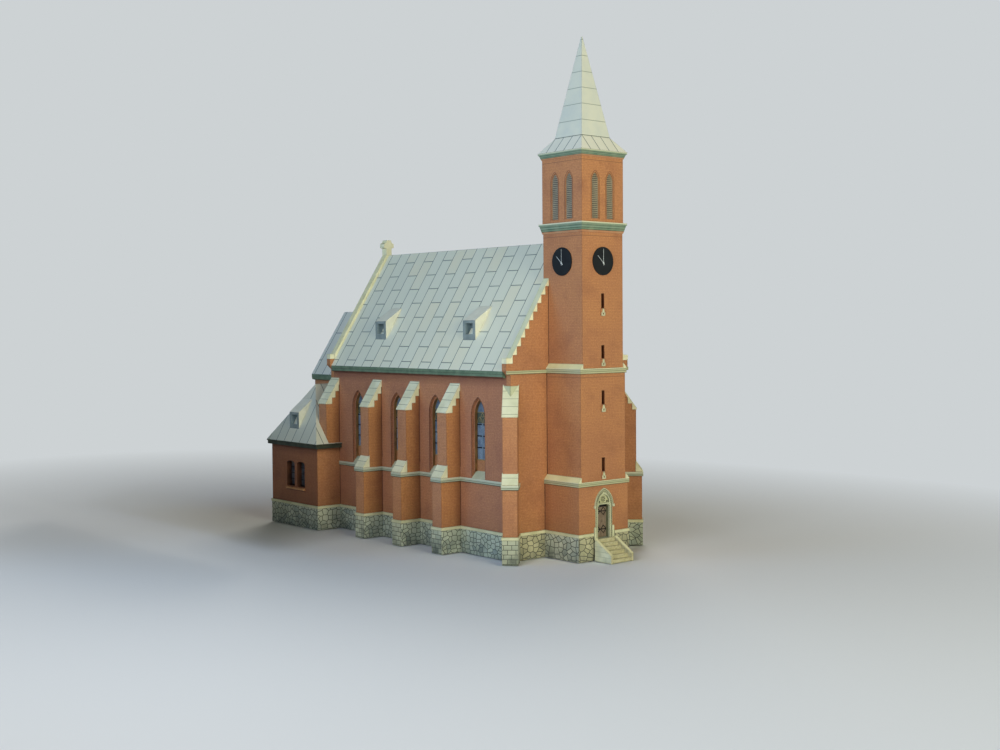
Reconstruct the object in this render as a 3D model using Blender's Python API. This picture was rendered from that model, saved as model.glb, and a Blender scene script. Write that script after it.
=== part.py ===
"""Card model of a neo-Gothic brick church at 1:150.

The church stands along Y. The portal side faces -Y, the tower is centred on
x = 0, and z = 0 of the drawing is the top of the rubble plinth. Lengths are
written in metres of the full-size church and brought to the model's scale by
place(), which also moves the origin to the middle of the footprint at floor
level.
"""

import math

import bmesh
import bpy
from mathutils import Matrix, Vector

# Scale and datum
MODEL_SCALE = 1.0 / 150.0
GROUND = -1.95
GAP = 0.004
WELD = 1.0e-6

# Nave
NAVE_HALF = 5.65
NAVE_FRONT = 1.48
NAVE_REAR = 24.33
WALL = 0.45
RIDGE_Z = 20.718
PITCH = 1.56
EAVE_X = 5.93
SLAB = 0.24
WALL_TOP = 11.60
PARAPET_RISE = 0.45
COPING_FRONT = (1.44, 1.96)
COPING_REAR = (23.87, 24.37)
COPING_STRIP = (23.83, 23.876)
ROOF_Y = (2.005, 23.862)

# Nave windows and buttresses
WINDOW_Y = (5.10, 10.15, 15.12, 20.43)
WINDOW_HALF = 0.75
WINDOW_SPRING = 8.20
WINDOW_APEX = 9.50
SILL_FRONT_Z = 3.60
SILL_BACK_Z = 4.18
STRING_LOW = 3.28
STRING_TOP = 3.60
STRING_OUT = 0.09
BUTTRESS_Y = (7.19, 12.15, 17.12, 23.17)
BUTTRESS_WIDTH = 1.08
BUTTRESS_UPPER = 6.93
BUTTRESS_LOWER = 7.45
BUTTRESS_CAP_Z = 3.62
COPING_FOOT = (7.02, 8.33)
COPING_LIP = 0.05
STEP_RISE = 0.52
STEP_RUN = 0.333

# Diagonal corner buttresses, lengths along the diagonal from the corner
DIAGONAL_HALF = 0.52
DIAGONAL_UPPER = 0.90
DIAGONAL_LOWER = 1.33
DIAGONAL_TOP_Z = 9.70
DIAGONAL_PITCH = 1.45

# Tower
LOWER_HALF = 2.454
MIDDLE_HALF = 2.204
CLOCK_HALF = 2.00
BELFRY_HALF = 2.036
TOWER_FRONT = -2.00
BAND_2 = (3.32, 3.65)
BAND_2_SLOPE_TOP = 4.00
BAND_1 = (11.25, 11.62)
BAND_1_SLOPE_TOP = 11.95
BELFRY_CORNICE = (21.17, 21.90)
EAVE_CORNICE = (26.45, 26.90)
SPIRE_DRIP = (2.271, 26.908)
SPIRE_BREAK = (1.386, 27.972)
SPIRE_TIP = (0.03, 35.20)
CLOCK_Z = 19.17
CLOCK_RADIUS = 1.00
LANCET_X = 0.72
LANCET_HALF = 0.33
LANCET_Z = (22.15, 24.78, 25.38)
SLITS_MIDDLE = ((4.32, 5.28), (9.08, 10.04))
SLITS_CLOCK = ((12.32, 13.24), (15.87, 16.89))
SLIT_HALF = 0.14
SLIT_BLOCK = (0.225, 0.06, 0.50, 0.03)

# Portal and steps
DOOR_SILL = -0.45
DOOR_HEAD = 1.95
DOOR_HALF = 0.61
FRAME_HALF = 0.82
FRAME_SPRING = 1.85
FRAME_APEX = 3.02
FRAME_OUT = 0.04
HOOD_HALF = 0.92
HOOD_LOW = 1.75
HOOD_APEX = 3.13
HOOD_OUT = 0.09
TYMPANUM = (0.52, 2.05, 2.66)
FOOT = (0.98, 0.40)
STEP_COUNT = 6
STEPS_HALF = 1.10
CHEEK = 0.17
STEPS_FOOT_Y = -3.85

# Chancel and side annexes
CHANCEL_HALF = 3.20
CHANCEL_REAR = 30.70
CHANCEL_EAVE = (3.50, 10.53)
CHANCEL_RIDGE = 15.96
ANNEX_OUT = 7.85
ANNEX_FRONT = 23.17
ANNEX_REAR = 30.30
ANNEX_WALL_TOP = 4.72
ANNEX_EAVE = (8.15, 22.80, 30.67, 5.10)
ANNEX_APEX = (5.57, 26.90, 9.83)
ANNEX_WINDOW_Y = (25.72, 27.30)
ANNEX_WINDOW_HALF = 0.60
ANNEX_WINDOW_Z = (1.37, 3.46)

# Plinth
PLINTH_OUT = 0.05
PLINTH_BAND_OUT = 0.09
PLINTH_BAND_LOW = -0.22

# Roof dormers
DORMER_WIDTH = 1.44
NAVE_DORMER_Y = (7.40, 18.70)
NAVE_DORMER_FRONT = (4.55, 15.08)
NAVE_DORMER_BACK = 2.95
ANNEX_DORMER_Y = 27.10
ANNEX_DORMER_FRONT = (7.57, 7.53)
ANNEX_DORMER_BACK = 6.24

FOOTPRINT_MID_Y = (STEPS_FOOT_Y + CHANCEL_REAR + PLINTH_BAND_OUT) / 2.0

COLOURS = {
    "brick": ((0.42, 0.19, 0.08), 0.75),
    "rubble": ((0.45, 0.42, 0.33), 0.85),
    "stone": ((0.66, 0.62, 0.44), 0.75),
    "sheet": ((0.55, 0.60, 0.57), 0.60),
    "moulding": ((0.25, 0.38, 0.28), 0.65),
    "glass": ((0.05, 0.11, 0.22), 0.30),
    "timber": ((0.16, 0.09, 0.05), 0.60),
    "dial": ((0.01, 0.01, 0.01), 0.45),
}


def clear_scene():
    """Remove every object so the model starts from nothing."""
    for obj in list(bpy.data.objects):
        bpy.data.objects.remove(obj, do_unlink=True)


def material(name):
    """Return the named material, made on first use."""
    found = bpy.data.materials.get(name)
    if found:
        return found
    colour, rough = COLOURS[name]
    made = bpy.data.materials.new(name)
    made.use_nodes = True
    shader = made.node_tree.nodes["Principled BSDF"]
    shader.inputs["Base Color"].default_value = (*colour, 1.0)
    shader.inputs["Roughness"].default_value = rough
    shader.inputs["Metallic"].default_value = 0.0
    return made


def collection(name):
    """Return the named collection, linked to the scene."""
    found = bpy.data.collections.get(name)
    if found is None:
        found = bpy.data.collections.new(name)
        bpy.context.scene.collection.children.link(found)
    return found


def place():
    """Return the matrix from full-size metres to the model's own frame."""
    shift = Matrix.Translation((0.0, -FOOTPRINT_MID_Y, -GROUND))
    return Matrix.Scale(MODEL_SCALE, 4) @ shift


def finish(name, mesh, look, cutter=False):
    """Wrap a mesh in an object, in the parts or the cutters collection."""
    bm = bmesh.new()
    bm.from_mesh(mesh)
    bmesh.ops.transform(bm, matrix=place(), verts=bm.verts)
    bmesh.ops.remove_doubles(bm, verts=bm.verts, dist=WELD)
    bmesh.ops.recalc_face_normals(bm, faces=bm.faces)
    bm.to_mesh(mesh)
    bm.free()
    obj = bpy.data.objects.new(name, mesh)
    obj.data.materials.clear()
    obj.data.materials.append(material(look))
    collection("cutters" if cutter else "church").objects.link(obj)
    if cutter:
        obj.hide_render = True
        obj.display_type = "WIRE"
    return obj


def plate(name, loops, axis, start, end, look="brick", cutter=False, turn=None):
    """Extrude a flat outline, the first loop, with any holes after it.

    axis "x": points are (y, z). axis "y": points are (x, z). axis "z": (x, y).
    turn is a further matrix that moves the finished plate.
    """
    curve = bpy.data.curves.new(name + "_outline", "CURVE")
    curve.dimensions = "2D"
    curve.fill_mode = "BOTH"
    curve.extrude = abs(end - start) / 2.0
    for loop in loops:
        spline = curve.splines.new("POLY")
        spline.points.add(len(loop) - 1)
        for point, (u, v) in zip(spline.points, loop):
            point.co = (u, v, 0.0, 1.0)
        spline.use_cyclic_u = True
    guide = bpy.data.objects.new(name + "_outline", curve)
    bpy.context.scene.collection.objects.link(guide)
    bpy.context.view_layer.update()
    seen = guide.evaluated_get(bpy.context.evaluated_depsgraph_get())
    mesh = bpy.data.meshes.new_from_object(seen)
    mesh.name = name
    bpy.data.objects.remove(guide, do_unlink=True)
    bpy.data.curves.remove(curve)
    middle = (start + end) / 2.0
    turns = {
        "x": Matrix(((0, 0, 1, middle), (1, 0, 0, 0), (0, 1, 0, 0), (0, 0, 0, 1))),
        "y": Matrix(((1, 0, 0, 0), (0, 0, -1, middle), (0, 1, 0, 0), (0, 0, 0, 1))),
        "z": Matrix(((1, 0, 0, 0), (0, 1, 0, 0), (0, 0, 1, middle), (0, 0, 0, 1))),
    }
    mesh.transform(turns[axis])
    if turn is not None:
        mesh.transform(turn)
    return finish(name, mesh, look, cutter)


def hull(name, points, look, cutter=False):
    """Return the convex solid round a few corner points."""
    bm = bmesh.new()
    for point in points:
        bm.verts.new(point)
    bmesh.ops.convex_hull(bm, input=bm.verts)
    mesh = bpy.data.meshes.new(name)
    bm.to_mesh(mesh)
    bm.free()
    return finish(name, mesh, look, cutter)


def disc(name, radius, depth, matrix, look, segments=48):
    """Return a round plate made from a cone primitive with equal radii."""
    bm = bmesh.new()
    bmesh.ops.create_cone(
        bm,
        cap_ends=True,
        segments=segments,
        radius1=radius,
        radius2=radius,
        depth=depth,
        matrix=matrix,
    )
    mesh = bpy.data.meshes.new(name)
    bm.to_mesh(mesh)
    bm.free()
    return finish(name, mesh, look)


def combine(obj, other, operation):
    """Add a Boolean modifier that joins or cuts obj with another solid."""
    step = obj.modifiers.new(operation.lower(), "BOOLEAN")
    step.operation = operation
    step.solver = "EXACT"
    step.object = other
    return obj


def join(obj, *others):
    """Union other solids into obj."""
    for other in others:
        combine(obj, other, "UNION")
    return obj


def cut(obj, *others):
    """Cut other solids out of obj."""
    for other in others:
        combine(obj, other, "DIFFERENCE")
    return obj


def box_loop(u0, u1, v0, v1):
    """Return the corners of a rectangle."""
    return [(u0, v0), (u1, v0), (u1, v1), (u0, v1)]


def mirrored(points, sign):
    """Return points with the first coordinate on the chosen side."""
    return [(sign * u, *rest) for u, *rest in points]


def pointed_arch(centre, half, low, spring, apex, steps=6):
    """Return the outline of a pointed opening, foot to apex and back."""
    rise = apex - spring
    reach = (rise * rise - half * half) / (2.0 * half)
    radius = half + reach
    top = math.atan2(rise, reach)
    side = []
    for i in range(steps + 1):
        angle = top * i / steps
        side.append((radius * math.cos(angle) - reach, spring + radius * math.sin(angle)))
    right = [(centre + half, low)] + [(centre + u, v) for u, v in side]
    left = [(centre - u, v) for u, v in reversed(side[:-1])] + [(centre - half, low)]
    return right + left


def roof_z(x):
    """Return the height of the nave roof's upper face at x."""
    return RIDGE_Z - PITCH * abs(x)


def coping_top_z(x):
    """Return the height of the gable coping's upper face at x."""
    return RIDGE_Z + PARAPET_RISE - PITCH * abs(x)


def gable_steps():
    """Return the stepped line between gable brickwork and coping, outside in."""
    first = (5.46, 12.00)
    rise = 0.6084
    run = rise / PITCH
    points = [(6.05, first[1])]
    x, z = first
    while x > CLOCK_HALF + GAP:
        points.append((x, z))
        points.append((x, z + rise))
        x -= run
        z += rise
    points.append((CLOCK_HALF + GAP, z))
    return points


def rear_steps():
    """Return the same stepped line carried up to the ridge."""
    first = (5.46, 12.00)
    rise = 0.6084
    run = rise / PITCH
    points = [(6.05, first[1])]
    x, z = first
    while x > run * 0.9:
        points.append((x, z))
        points.append((x, z + rise))
        x -= run
        z += rise
    points.append((0.0, z))
    return points


def build_nave_walls():
    """Long walls, both gable walls and the window sheets behind the walls."""
    for tag, sign in (("left", -1.0), ("right", 1.0)):
        outer = sign * NAVE_HALF
        inner = sign * (NAVE_HALF - WALL)
        loop = box_loop(NAVE_FRONT + WALL + GAP, NAVE_REAR - WALL - GAP, 0.0, WALL_TOP)
        holes = [
            pointed_arch(y, WINDOW_HALF, STRING_LOW, WINDOW_SPRING, WINDOW_APEX)
            for y in WINDOW_Y
        ]
        plate("nave_wall_" + tag, [loop] + holes, "x", inner, outer)
        sheet_x = sign * (NAVE_HALF - WALL - GAP)
        plate(
            "nave_windows_" + tag,
            [box_loop(WINDOW_Y[0] - 1.4, WINDOW_Y[-1] + 1.4, 2.9, 10.0)],
            "x",
            sheet_x - sign * 0.06,
            sheet_x,
            "glass",
        )

    shoulder = [(NAVE_HALF, 0.0), (NAVE_HALF, 11.15), (6.05, 11.50), (6.05, 12.00)]
    notch = [(CLOCK_HALF + GAP, 11.62 + GAP)]
    right_side = shoulder + gable_steps()[1:]
    front = [(-u, v) for u, v in reversed(right_side + notch)]
    front_loop = right_side + notch + front
    plate("gable_wall_front", [front_loop], "y", NAVE_FRONT, NAVE_FRONT + WALL)

    rear_side = shoulder + rear_steps()[1:]
    rear_loop = rear_side + [(-u, v) for u, v in reversed(rear_side[:-1])]
    plate("gable_wall_rear", [rear_loop], "y", NAVE_REAR - WALL, NAVE_REAR)


def build_copings():
    """Stepped stone copings on both gables, with the finial at the rear."""
    kneeler = [(6.05, 12.00 + GAP), (6.05, 12.40)]
    shoulder_x = (RIDGE_Z + PARAPET_RISE - 12.40) / PITCH
    for tag, sign in (("left", -1.0), ("right", 1.0)):
        steps = [(u, v + GAP) for u, v in gable_steps()[1:]]
        top = [(CLOCK_HALF + GAP, coping_top_z(CLOCK_HALF)), (shoulder_x, 12.40)]
        loop = kneeler[:1] + steps + top + kneeler[1:]
        plate("gable_coping_front_" + tag, [mirrored(loop, sign)], "y", *COPING_FRONT, "stone")

    steps = [(u, v + GAP) for u, v in rear_steps()[1:]]
    side = kneeler[:1] + steps
    over = [(shoulder_x, 12.40), (6.05, 12.40)]
    top = [(0.0, RIDGE_Z + PARAPET_RISE)]
    lower = side + [(-u, v) for u, v in reversed(side[:-1])]
    upper = [(-6.05, 12.40), (-shoulder_x, 12.40), top[0], over[0], over[1]]
    rear = plate("gable_coping_rear", [lower + upper], "y", *COPING_REAR, "stone")
    middle = sum(COPING_REAR) / 2.0
    outline = [
        (0.27, 20.70),
        (0.27, 21.30),
        (0.50, 21.36),
        (0.50, 21.68),
        (0.30, 21.78),
        (0.20, 22.00),
        (-0.20, 22.00),
        (-0.30, 21.78),
        (-0.50, 21.68),
        (-0.50, 21.36),
        (-0.27, 21.30),
        (-0.27, 20.70),
    ]
    finial = plate("finial_cutter", [outline], "y", middle - 0.30, middle + 0.30, "stone", True)
    inner = [
        (shoulder_x, roof_z(shoulder_x) + GAP),
        (shoulder_x, 12.40),
        (0.0, RIDGE_Z + PARAPET_RISE),
        (-shoulder_x, 12.40),
        (-shoulder_x, roof_z(shoulder_x) + GAP),
        (0.0, RIDGE_Z + GAP),
    ]
    strip = plate("coping_strip_cutter", [inner], "y", *COPING_STRIP, "stone", True)
    join(rear, finial, strip)


def build_nave_roof():
    """Roof slabs, eaves boxes and the four shed dormers."""
    for tag, sign in (("left", -1.0), ("right", 1.0)):
        slab = [
            (EAVE_X, roof_z(EAVE_X)),
            (GAP, roof_z(GAP)),
            (GAP, roof_z(GAP) - SLAB),
            (EAVE_X, roof_z(EAVE_X) - SLAB),
        ]
        plate("nave_roof_" + tag, [mirrored(slab, sign)], "y", *ROOF_Y, "sheet")
        under = [
            (NAVE_HALF + GAP, 10.98),
            (NAVE_HALF + GAP, roof_z(NAVE_HALF + GAP) - SLAB - GAP),
            (EAVE_X - 0.03, roof_z(EAVE_X - 0.03) - SLAB - GAP),
            (EAVE_X - 0.03, 11.06),
            (EAVE_X - 0.10, 10.98),
        ]
        plate("nave_eaves_" + tag, [mirrored(under, sign)], "y", *ROOF_Y, "moulding")
        for number, y in enumerate(NAVE_DORMER_Y, start=1):
            front_x, top_z = NAVE_DORMER_FRONT
            loop = [
                (front_x, roof_z(front_x) + GAP),
                (front_x, top_z),
                (NAVE_DORMER_BACK, roof_z(NAVE_DORMER_BACK) + GAP + 0.01),
                (NAVE_DORMER_BACK, roof_z(NAVE_DORMER_BACK) + GAP),
            ]
            dormer(f"dormer_{tag}_{number}", mirrored(loop, sign), y, sign * front_x, top_z)


def dormer(name, loop, y, front_x, top_z):
    """Make one shed dormer with a square opening in its front."""
    half = DORMER_WIDTH / 2.0
    body = plate(name, [loop], "y", y - half, y + half, "sheet")
    sign = 1.0 if front_x > 0 else -1.0
    opening = plate(
        name + "_cutter",
        [box_loop(y - 0.42, y + 0.42, top_z - 1.02, top_z - 0.22)],
        "x",
        front_x - sign * 0.55,
        front_x + sign * 0.10,
        "sheet",
        True,
    )
    return cut(body, opening)


def stepped_coping(foot_x, foot_z, wall_x, pitch, rise, run, first_run):
    """Return a sloped coping outline with its stepped underside."""
    points = [(foot_x, foot_z)]
    x = foot_x - first_run
    z = foot_z
    points.append((x, z))
    while x - run > wall_x + 0.05:
        z += rise
        points.append((x, z))
        x -= run
        points.append((x, z))
    z += rise
    points.append((x, z))
    points.append((wall_x, z))
    points.append((wall_x, foot_z + pitch * (foot_x - wall_x)))
    points.append((foot_x, foot_z + 0.06))
    return points


def buttress_profile(wall, upper, lower, foot, cap_foot, cap_pitch, top_pitch, base):
    """Return the outline of a buttress with its set-back and sloped head."""
    cap_top = cap_foot + cap_pitch * (lower - upper)
    head = foot[1] + top_pitch * (upper - wall) - 0.02
    return [
        (wall, base),
        (lower, base),
        (lower, cap_foot),
        (upper, cap_top),
        (upper, foot[1]),
        (wall, head),
    ]


def build_side_buttresses():
    """Eight stepped buttresses along the nave."""
    wall = NAVE_HALF + GAP
    for tag, sign in (("left", -1.0), ("right", 1.0)):
        for number, y0 in enumerate(BUTTRESS_Y, start=1):
            name = f"buttress_{tag}_{number}"
            y1 = y0 + BUTTRESS_WIDTH
            rear = number == len(BUTTRESS_Y)
            profile = buttress_profile(
                wall, BUTTRESS_UPPER, BUTTRESS_LOWER, COPING_FOOT, BUTTRESS_CAP_Z, PITCH, PITCH, 0.0
            )
            if rear:
                base = ANNEX_WALL_TOP + GAP
                profile = [(wall, base), (BUTTRESS_UPPER, base)] + profile[4:]
            body = plate(name, [mirrored(profile, sign)], "y", y0, y1)
            coping = stepped_coping(*COPING_FOOT, wall, PITCH, STEP_RISE, STEP_RUN, 0.64)
            head = plate(
                name + "_head_cutter",
                [mirrored(coping, sign)],
                "y",
                y0 - COPING_LIP,
                y1 + COPING_LIP,
                "stone",
                True,
            )
            join(body, head)
            if not rear:
                cap = [
                    (BUTTRESS_LOWER + 0.06, BUTTRESS_CAP_Z - 0.0),
                    (BUTTRESS_UPPER - 0.05, BUTTRESS_CAP_Z),
                    (BUTTRESS_UPPER - 0.05, BUTTRESS_CAP_Z + PITCH * 0.58 + 0.03),
                    (BUTTRESS_LOWER + 0.06, BUTTRESS_CAP_Z + 0.06),
                ]
                low = plate(
                    name + "_cap_cutter",
                    [mirrored(cap, sign)],
                    "y",
                    y0 - COPING_LIP,
                    y1 + COPING_LIP,
                    "stone",
                    True,
                )
                join(body, low)


def diagonal_matrix(sign):
    """Return the matrix that lays a length along X onto a corner's diagonal."""
    angle = math.radians(-45.0 if sign > 0 else -135.0)
    corner = Matrix.Translation((sign * NAVE_HALF, NAVE_FRONT, 0.0))
    return corner @ Matrix.Rotation(angle, 4, "Z")


def build_corner_buttresses():
    """Two buttresses on the diagonals of the front corners."""
    deep = -1.2
    for tag, sign in (("left", -1.0), ("right", 1.0)):
        name = "corner_buttress_" + tag
        half = DIAGONAL_HALF
        lip = half + COPING_LIP
        lower_top = BUTTRESS_CAP_Z + 0.74
        foot_z = DIAGONAL_TOP_Z - DIAGONAL_PITCH * (DIAGONAL_UPPER + 0.06)
        head_top = DIAGONAL_TOP_Z - DIAGONAL_PITCH * deep
        outline = [
            (deep, 0.0),
            (DIAGONAL_LOWER, 0.0),
            (DIAGONAL_LOWER, BUTTRESS_CAP_Z),
            (DIAGONAL_UPPER, lower_top - 0.05),
            (DIAGONAL_UPPER, foot_z),
            (deep, head_top - 0.20),
        ]
        head = [
            (deep, foot_z + 0.90),
            (DIAGONAL_UPPER - 0.62, foot_z + 0.90),
            (DIAGONAL_UPPER - 0.62, foot_z + 0.45),
            (DIAGONAL_UPPER - 0.30, foot_z + 0.45),
            (DIAGONAL_UPPER - 0.30, foot_z),
            (DIAGONAL_UPPER + 0.06, foot_z),
            (DIAGONAL_UPPER + 0.06, foot_z + 0.06),
            (deep, head_top + 0.03),
        ]
        cap = [
            (DIAGONAL_UPPER - 0.05, BUTTRESS_CAP_Z + 0.002),
            (DIAGONAL_LOWER + 0.06, BUTTRESS_CAP_Z + 0.002),
            (DIAGONAL_LOWER + 0.06, BUTTRESS_CAP_Z + 0.06),
            (DIAGONAL_UPPER - 0.05, lower_top + 0.08),
        ]
        turn = diagonal_matrix(sign)
        body = plate(name, [outline], "y", -half, half, "brick", False, turn)
        over = [
            plate(name + "_head_cutter", [head], "y", -lip, lip, "stone", True, turn),
            plate(name + "_cap_cutter", [cap], "y", -lip, lip, "stone", True, turn),
        ]
        join(body, *over)
        inside = plate(
            name + "_nave_cutter",
            [box_loop(-NAVE_HALF - GAP, NAVE_HALF + GAP, NAVE_FRONT - GAP, NAVE_REAR)],
            "z",
            -1.0,
            14.0,
            "brick",
            True,
        )
        cut(body, inside)


def diagonal_plan(sign, offset):
    """Return plan points where a corner buttress meets both walls."""
    half = DIAGONAL_HALF + offset
    reach = DIAGONAL_LOWER + offset
    near = offset * math.sqrt(2.0) - half
    unit = math.sqrt(0.5)
    x0 = NAVE_HALF
    y0 = NAVE_FRONT
    front = (x0 + unit * (near - half), y0 - unit * (near + half))
    front_out = (x0 + unit * (reach - half), y0 - unit * (reach + half))
    side_out = (x0 + unit * (reach + half), y0 - unit * (reach - half))
    side = (x0 + unit * (near + half), y0 - unit * (near - half))
    return mirrored([front, front_out, side_out, side], sign)


def string_plan(offset):
    """Return the plan line of the wall face at the string course, +X side."""
    points = diagonal_plan(1.0, offset)
    for y0 in BUTTRESS_Y[:-1]:
        y1 = y0 + BUTTRESS_WIDTH
        points += [
            (NAVE_HALF + offset, y0 - offset),
            (BUTTRESS_LOWER + offset, y0 - offset),
            (BUTTRESS_LOWER + offset, y1 + offset),
            (NAVE_HALF + offset, y1 + offset),
        ]
    return points


def build_strings():
    """String course along each nave side, with the sloped window sills."""
    end = ANNEX_FRONT - GAP
    for tag, sign in (("left", -1.0), ("right", 1.0)):
        outer = string_plan(STRING_OUT) + [(NAVE_HALF + STRING_OUT, end)]
        inner = string_plan(GAP) + [(NAVE_HALF + GAP, end)]
        loop = mirrored(outer + list(reversed(inner)), sign)
        name = "string_course_" + tag
        band = plate(name, [loop], "z", STRING_LOW, STRING_TOP, "moulding")
        for number, y in enumerate(WINDOW_Y, start=1):
            sill = [
                (NAVE_HALF + 0.05, STRING_LOW + 0.02),
                (NAVE_HALF - WALL + GAP, STRING_LOW + 0.02),
                (NAVE_HALF - WALL + GAP, SILL_BACK_Z),
                (NAVE_HALF + 0.05, SILL_FRONT_Z - 0.01),
            ]
            half = WINDOW_HALF - GAP
            wedge = plate(
                f"{name}_sill_cutter_{number}",
                [mirrored(sill, sign)],
                "y",
                y - half,
                y + half,
                "stone",
                True,
            )
            join(band, wedge)


def shell_plan(half, front, back, wall):
    """Return a U-shaped plan, open towards the nave."""
    return [
        (-half, back),
        (-half, front),
        (half, front),
        (half, back),
        (half - wall, back),
        (half - wall, front + wall),
        (-half + wall, front + wall),
        (-half + wall, back),
    ]


def slit_set(name, slits, half_wall):
    """Return cutters for slit windows and the blocks that sit under them."""
    cutters = []
    blocks = []
    for number, (low, high) in enumerate(slits, start=1):
        cutters.append(
            plate(
                f"{name}_slit_cutter_{number}",
                [box_loop(-SLIT_HALF, SLIT_HALF, low, high)],
                "y",
                TOWER_FRONT - 0.3,
                TOWER_FRONT + half_wall + 0.1,
                "brick",
                True,
            )
        )
        half, out, deep, lap = SLIT_BLOCK
        face = TOWER_FRONT - out
        foot = low - deep
        top = low - lap
        block = [(face, foot), (face, top - 0.02), (TOWER_FRONT, top)]
        block += [(TOWER_FRONT + 0.1, foot), (TOWER_FRONT + 0.1, top)]
        points = [(x, y, z) for y, z in block for x in (-half, half)]
        blocks.append(hull(f"{name}_block_cutter_{number}", points, "stone", True))
    return cutters, blocks


def build_tower():
    """Tower stages, from the plinth up to the belfry."""
    back = NAVE_FRONT - GAP
    lower_plan = shell_plan(LOWER_HALF, TOWER_FRONT, back, WALL)
    lower = plate("tower_lower_stage", [lower_plan], "z", 0.0, BAND_2[1], "brick")
    doorway = pointed_arch(0.0, FRAME_HALF + GAP, -1.0, FRAME_SPRING, FRAME_APEX + GAP)
    cut(
        lower,
        plate("doorway_cutter", [doorway], "y", TOWER_FRONT - 0.5, TOWER_FRONT + 1.0, "brick", True),
    )

    middle_plan = shell_plan(MIDDLE_HALF, TOWER_FRONT, back, WALL)
    middle = plate("tower_middle_stage", [middle_plan], "z", BAND_2[1] + GAP, BAND_1[1], "brick")
    cutters, blocks = slit_set("tower_middle", SLITS_MIDDLE, WALL)
    join(middle, *blocks)
    cut(middle, *cutters)

    ring = [
        box_loop(-CLOCK_HALF, CLOCK_HALF, TOWER_FRONT, CLOCK_HALF),
        box_loop(
            -CLOCK_HALF + WALL, CLOCK_HALF - WALL, TOWER_FRONT + WALL, CLOCK_HALF - WALL
        ),
    ]
    clock = plate("tower_clock_stage", ring, "z", BAND_1[1] + GAP, BELFRY_CORNICE[1], "brick")
    cutters, blocks = slit_set("tower_clock", SLITS_CLOCK, WALL)
    join(clock, *blocks)
    cut(clock, *cutters)

    thin = 0.15
    ring = [
        box_loop(-BELFRY_HALF, BELFRY_HALF, -BELFRY_HALF, BELFRY_HALF),
        box_loop(-BELFRY_HALF + thin, BELFRY_HALF - thin, -BELFRY_HALF + thin, BELFRY_HALF - thin),
    ]
    belfry = plate("belfry", ring, "z", BELFRY_CORNICE[1] + GAP, SPIRE_DRIP[1] - GAP, "brick")
    low, spring, apex = LANCET_Z
    for axis in ("x", "y"):
        for tag, centre in (("a", -LANCET_X), ("b", LANCET_X)):
            loop = pointed_arch(centre, LANCET_HALF, low, spring, apex, 4)
            opening = plate(f"lancet_cutter_{axis}{tag}", [loop], axis, -3.0, 3.0, "brick", True)
            cut(belfry, opening)
    core = BELFRY_HALF - thin - GAP
    ring = [
        box_loop(-core, core, -core, core),
        box_loop(-core + 0.08, core - 0.08, -core + 0.08, core - 0.08),
    ]
    plate("belfry_louvres", ring, "z", BELFRY_CORNICE[1] + 0.05, SPIRE_DRIP[1] - 0.10, "dial")


def build_tower_bands():
    """String courses and cornices round the tower."""
    back = NAVE_FRONT - GAP
    out = 0.08
    for name, half_low, half_up, band, top in (
        ("tower_string_lower", LOWER_HALF, MIDDLE_HALF, BAND_2, BAND_2_SLOPE_TOP),
        ("tower_string_upper", MIDDLE_HALF, CLOCK_HALF, BAND_1, BAND_1_SLOPE_TOP),
    ):
        low, high = band
        slope = [
            (half_low + GAP, low),
            (half_low + out, low),
            (half_low + out, high),
            (half_up + GAP, top),
            (half_up + GAP, high + GAP),
            (half_low + GAP, high + GAP),
        ]
        front = plate(
            name,
            [box_loop(-half_low - out, half_low + out, TOWER_FRONT - out, TOWER_FRONT - GAP)],
            "z",
            low,
            high,
            "moulding",
        )
        for tag, sign in (("left", -1.0), ("right", 1.0)):
            side = plate(
                f"{name}_{tag}_cutter",
                [mirrored(slope, sign)],
                "y",
                TOWER_FRONT - out,
                back,
                "moulding",
                True,
            )
            join(front, side)
            if half_up == CLOCK_HALF:
                run = plate(
                    f"{name}_gable_{tag}_cutter",
                    [mirrored(box_loop(half_low + GAP, 6.05, low, 11.50), sign)],
                    "y",
                    NAVE_FRONT - out,
                    back,
                    "moulding",
                    True,
                )
                join(front, run)

    cornice("belfry_cornice", CLOCK_HALF + GAP, BELFRY_CORNICE, (2.04, 2.20, 2.236), 0.16)
    cornice("spire_cornice", BELFRY_HALF + GAP, EAVE_CORNICE, (2.075, 2.20, 2.25), 0.12)


def cornice(name, inner, levels, halves, lip):
    """Make a cornice that widens upwards to a square lip, round the walls.

    halves are its half widths at the foot, under the lip and at the lip.
    """
    low, high = levels
    foot, under, outer = halves
    body = hull(name, frustum(foot, low, under, high - lip + 0.02), "moulding")
    cap = hull(name + "_lip_cutter", frustum(outer, high - lip, outer, high), "moulding", True)
    core = plate(
        name + "_core_cutter",
        [box_loop(-inner, inner, -inner, inner)],
        "z",
        low - 1.0,
        high + 1.0,
        "moulding",
        True,
    )
    join(body, cap)
    cut(body, core)


def frustum(half_low, low, half_high, high):
    """Return the corner points of a square frustum."""
    points = []
    for half, z in ((half_low, low), (half_high, high)):
        points += [(x, y, z) for x in (-half, half) for y in (-half, half)]
    return points


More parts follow.
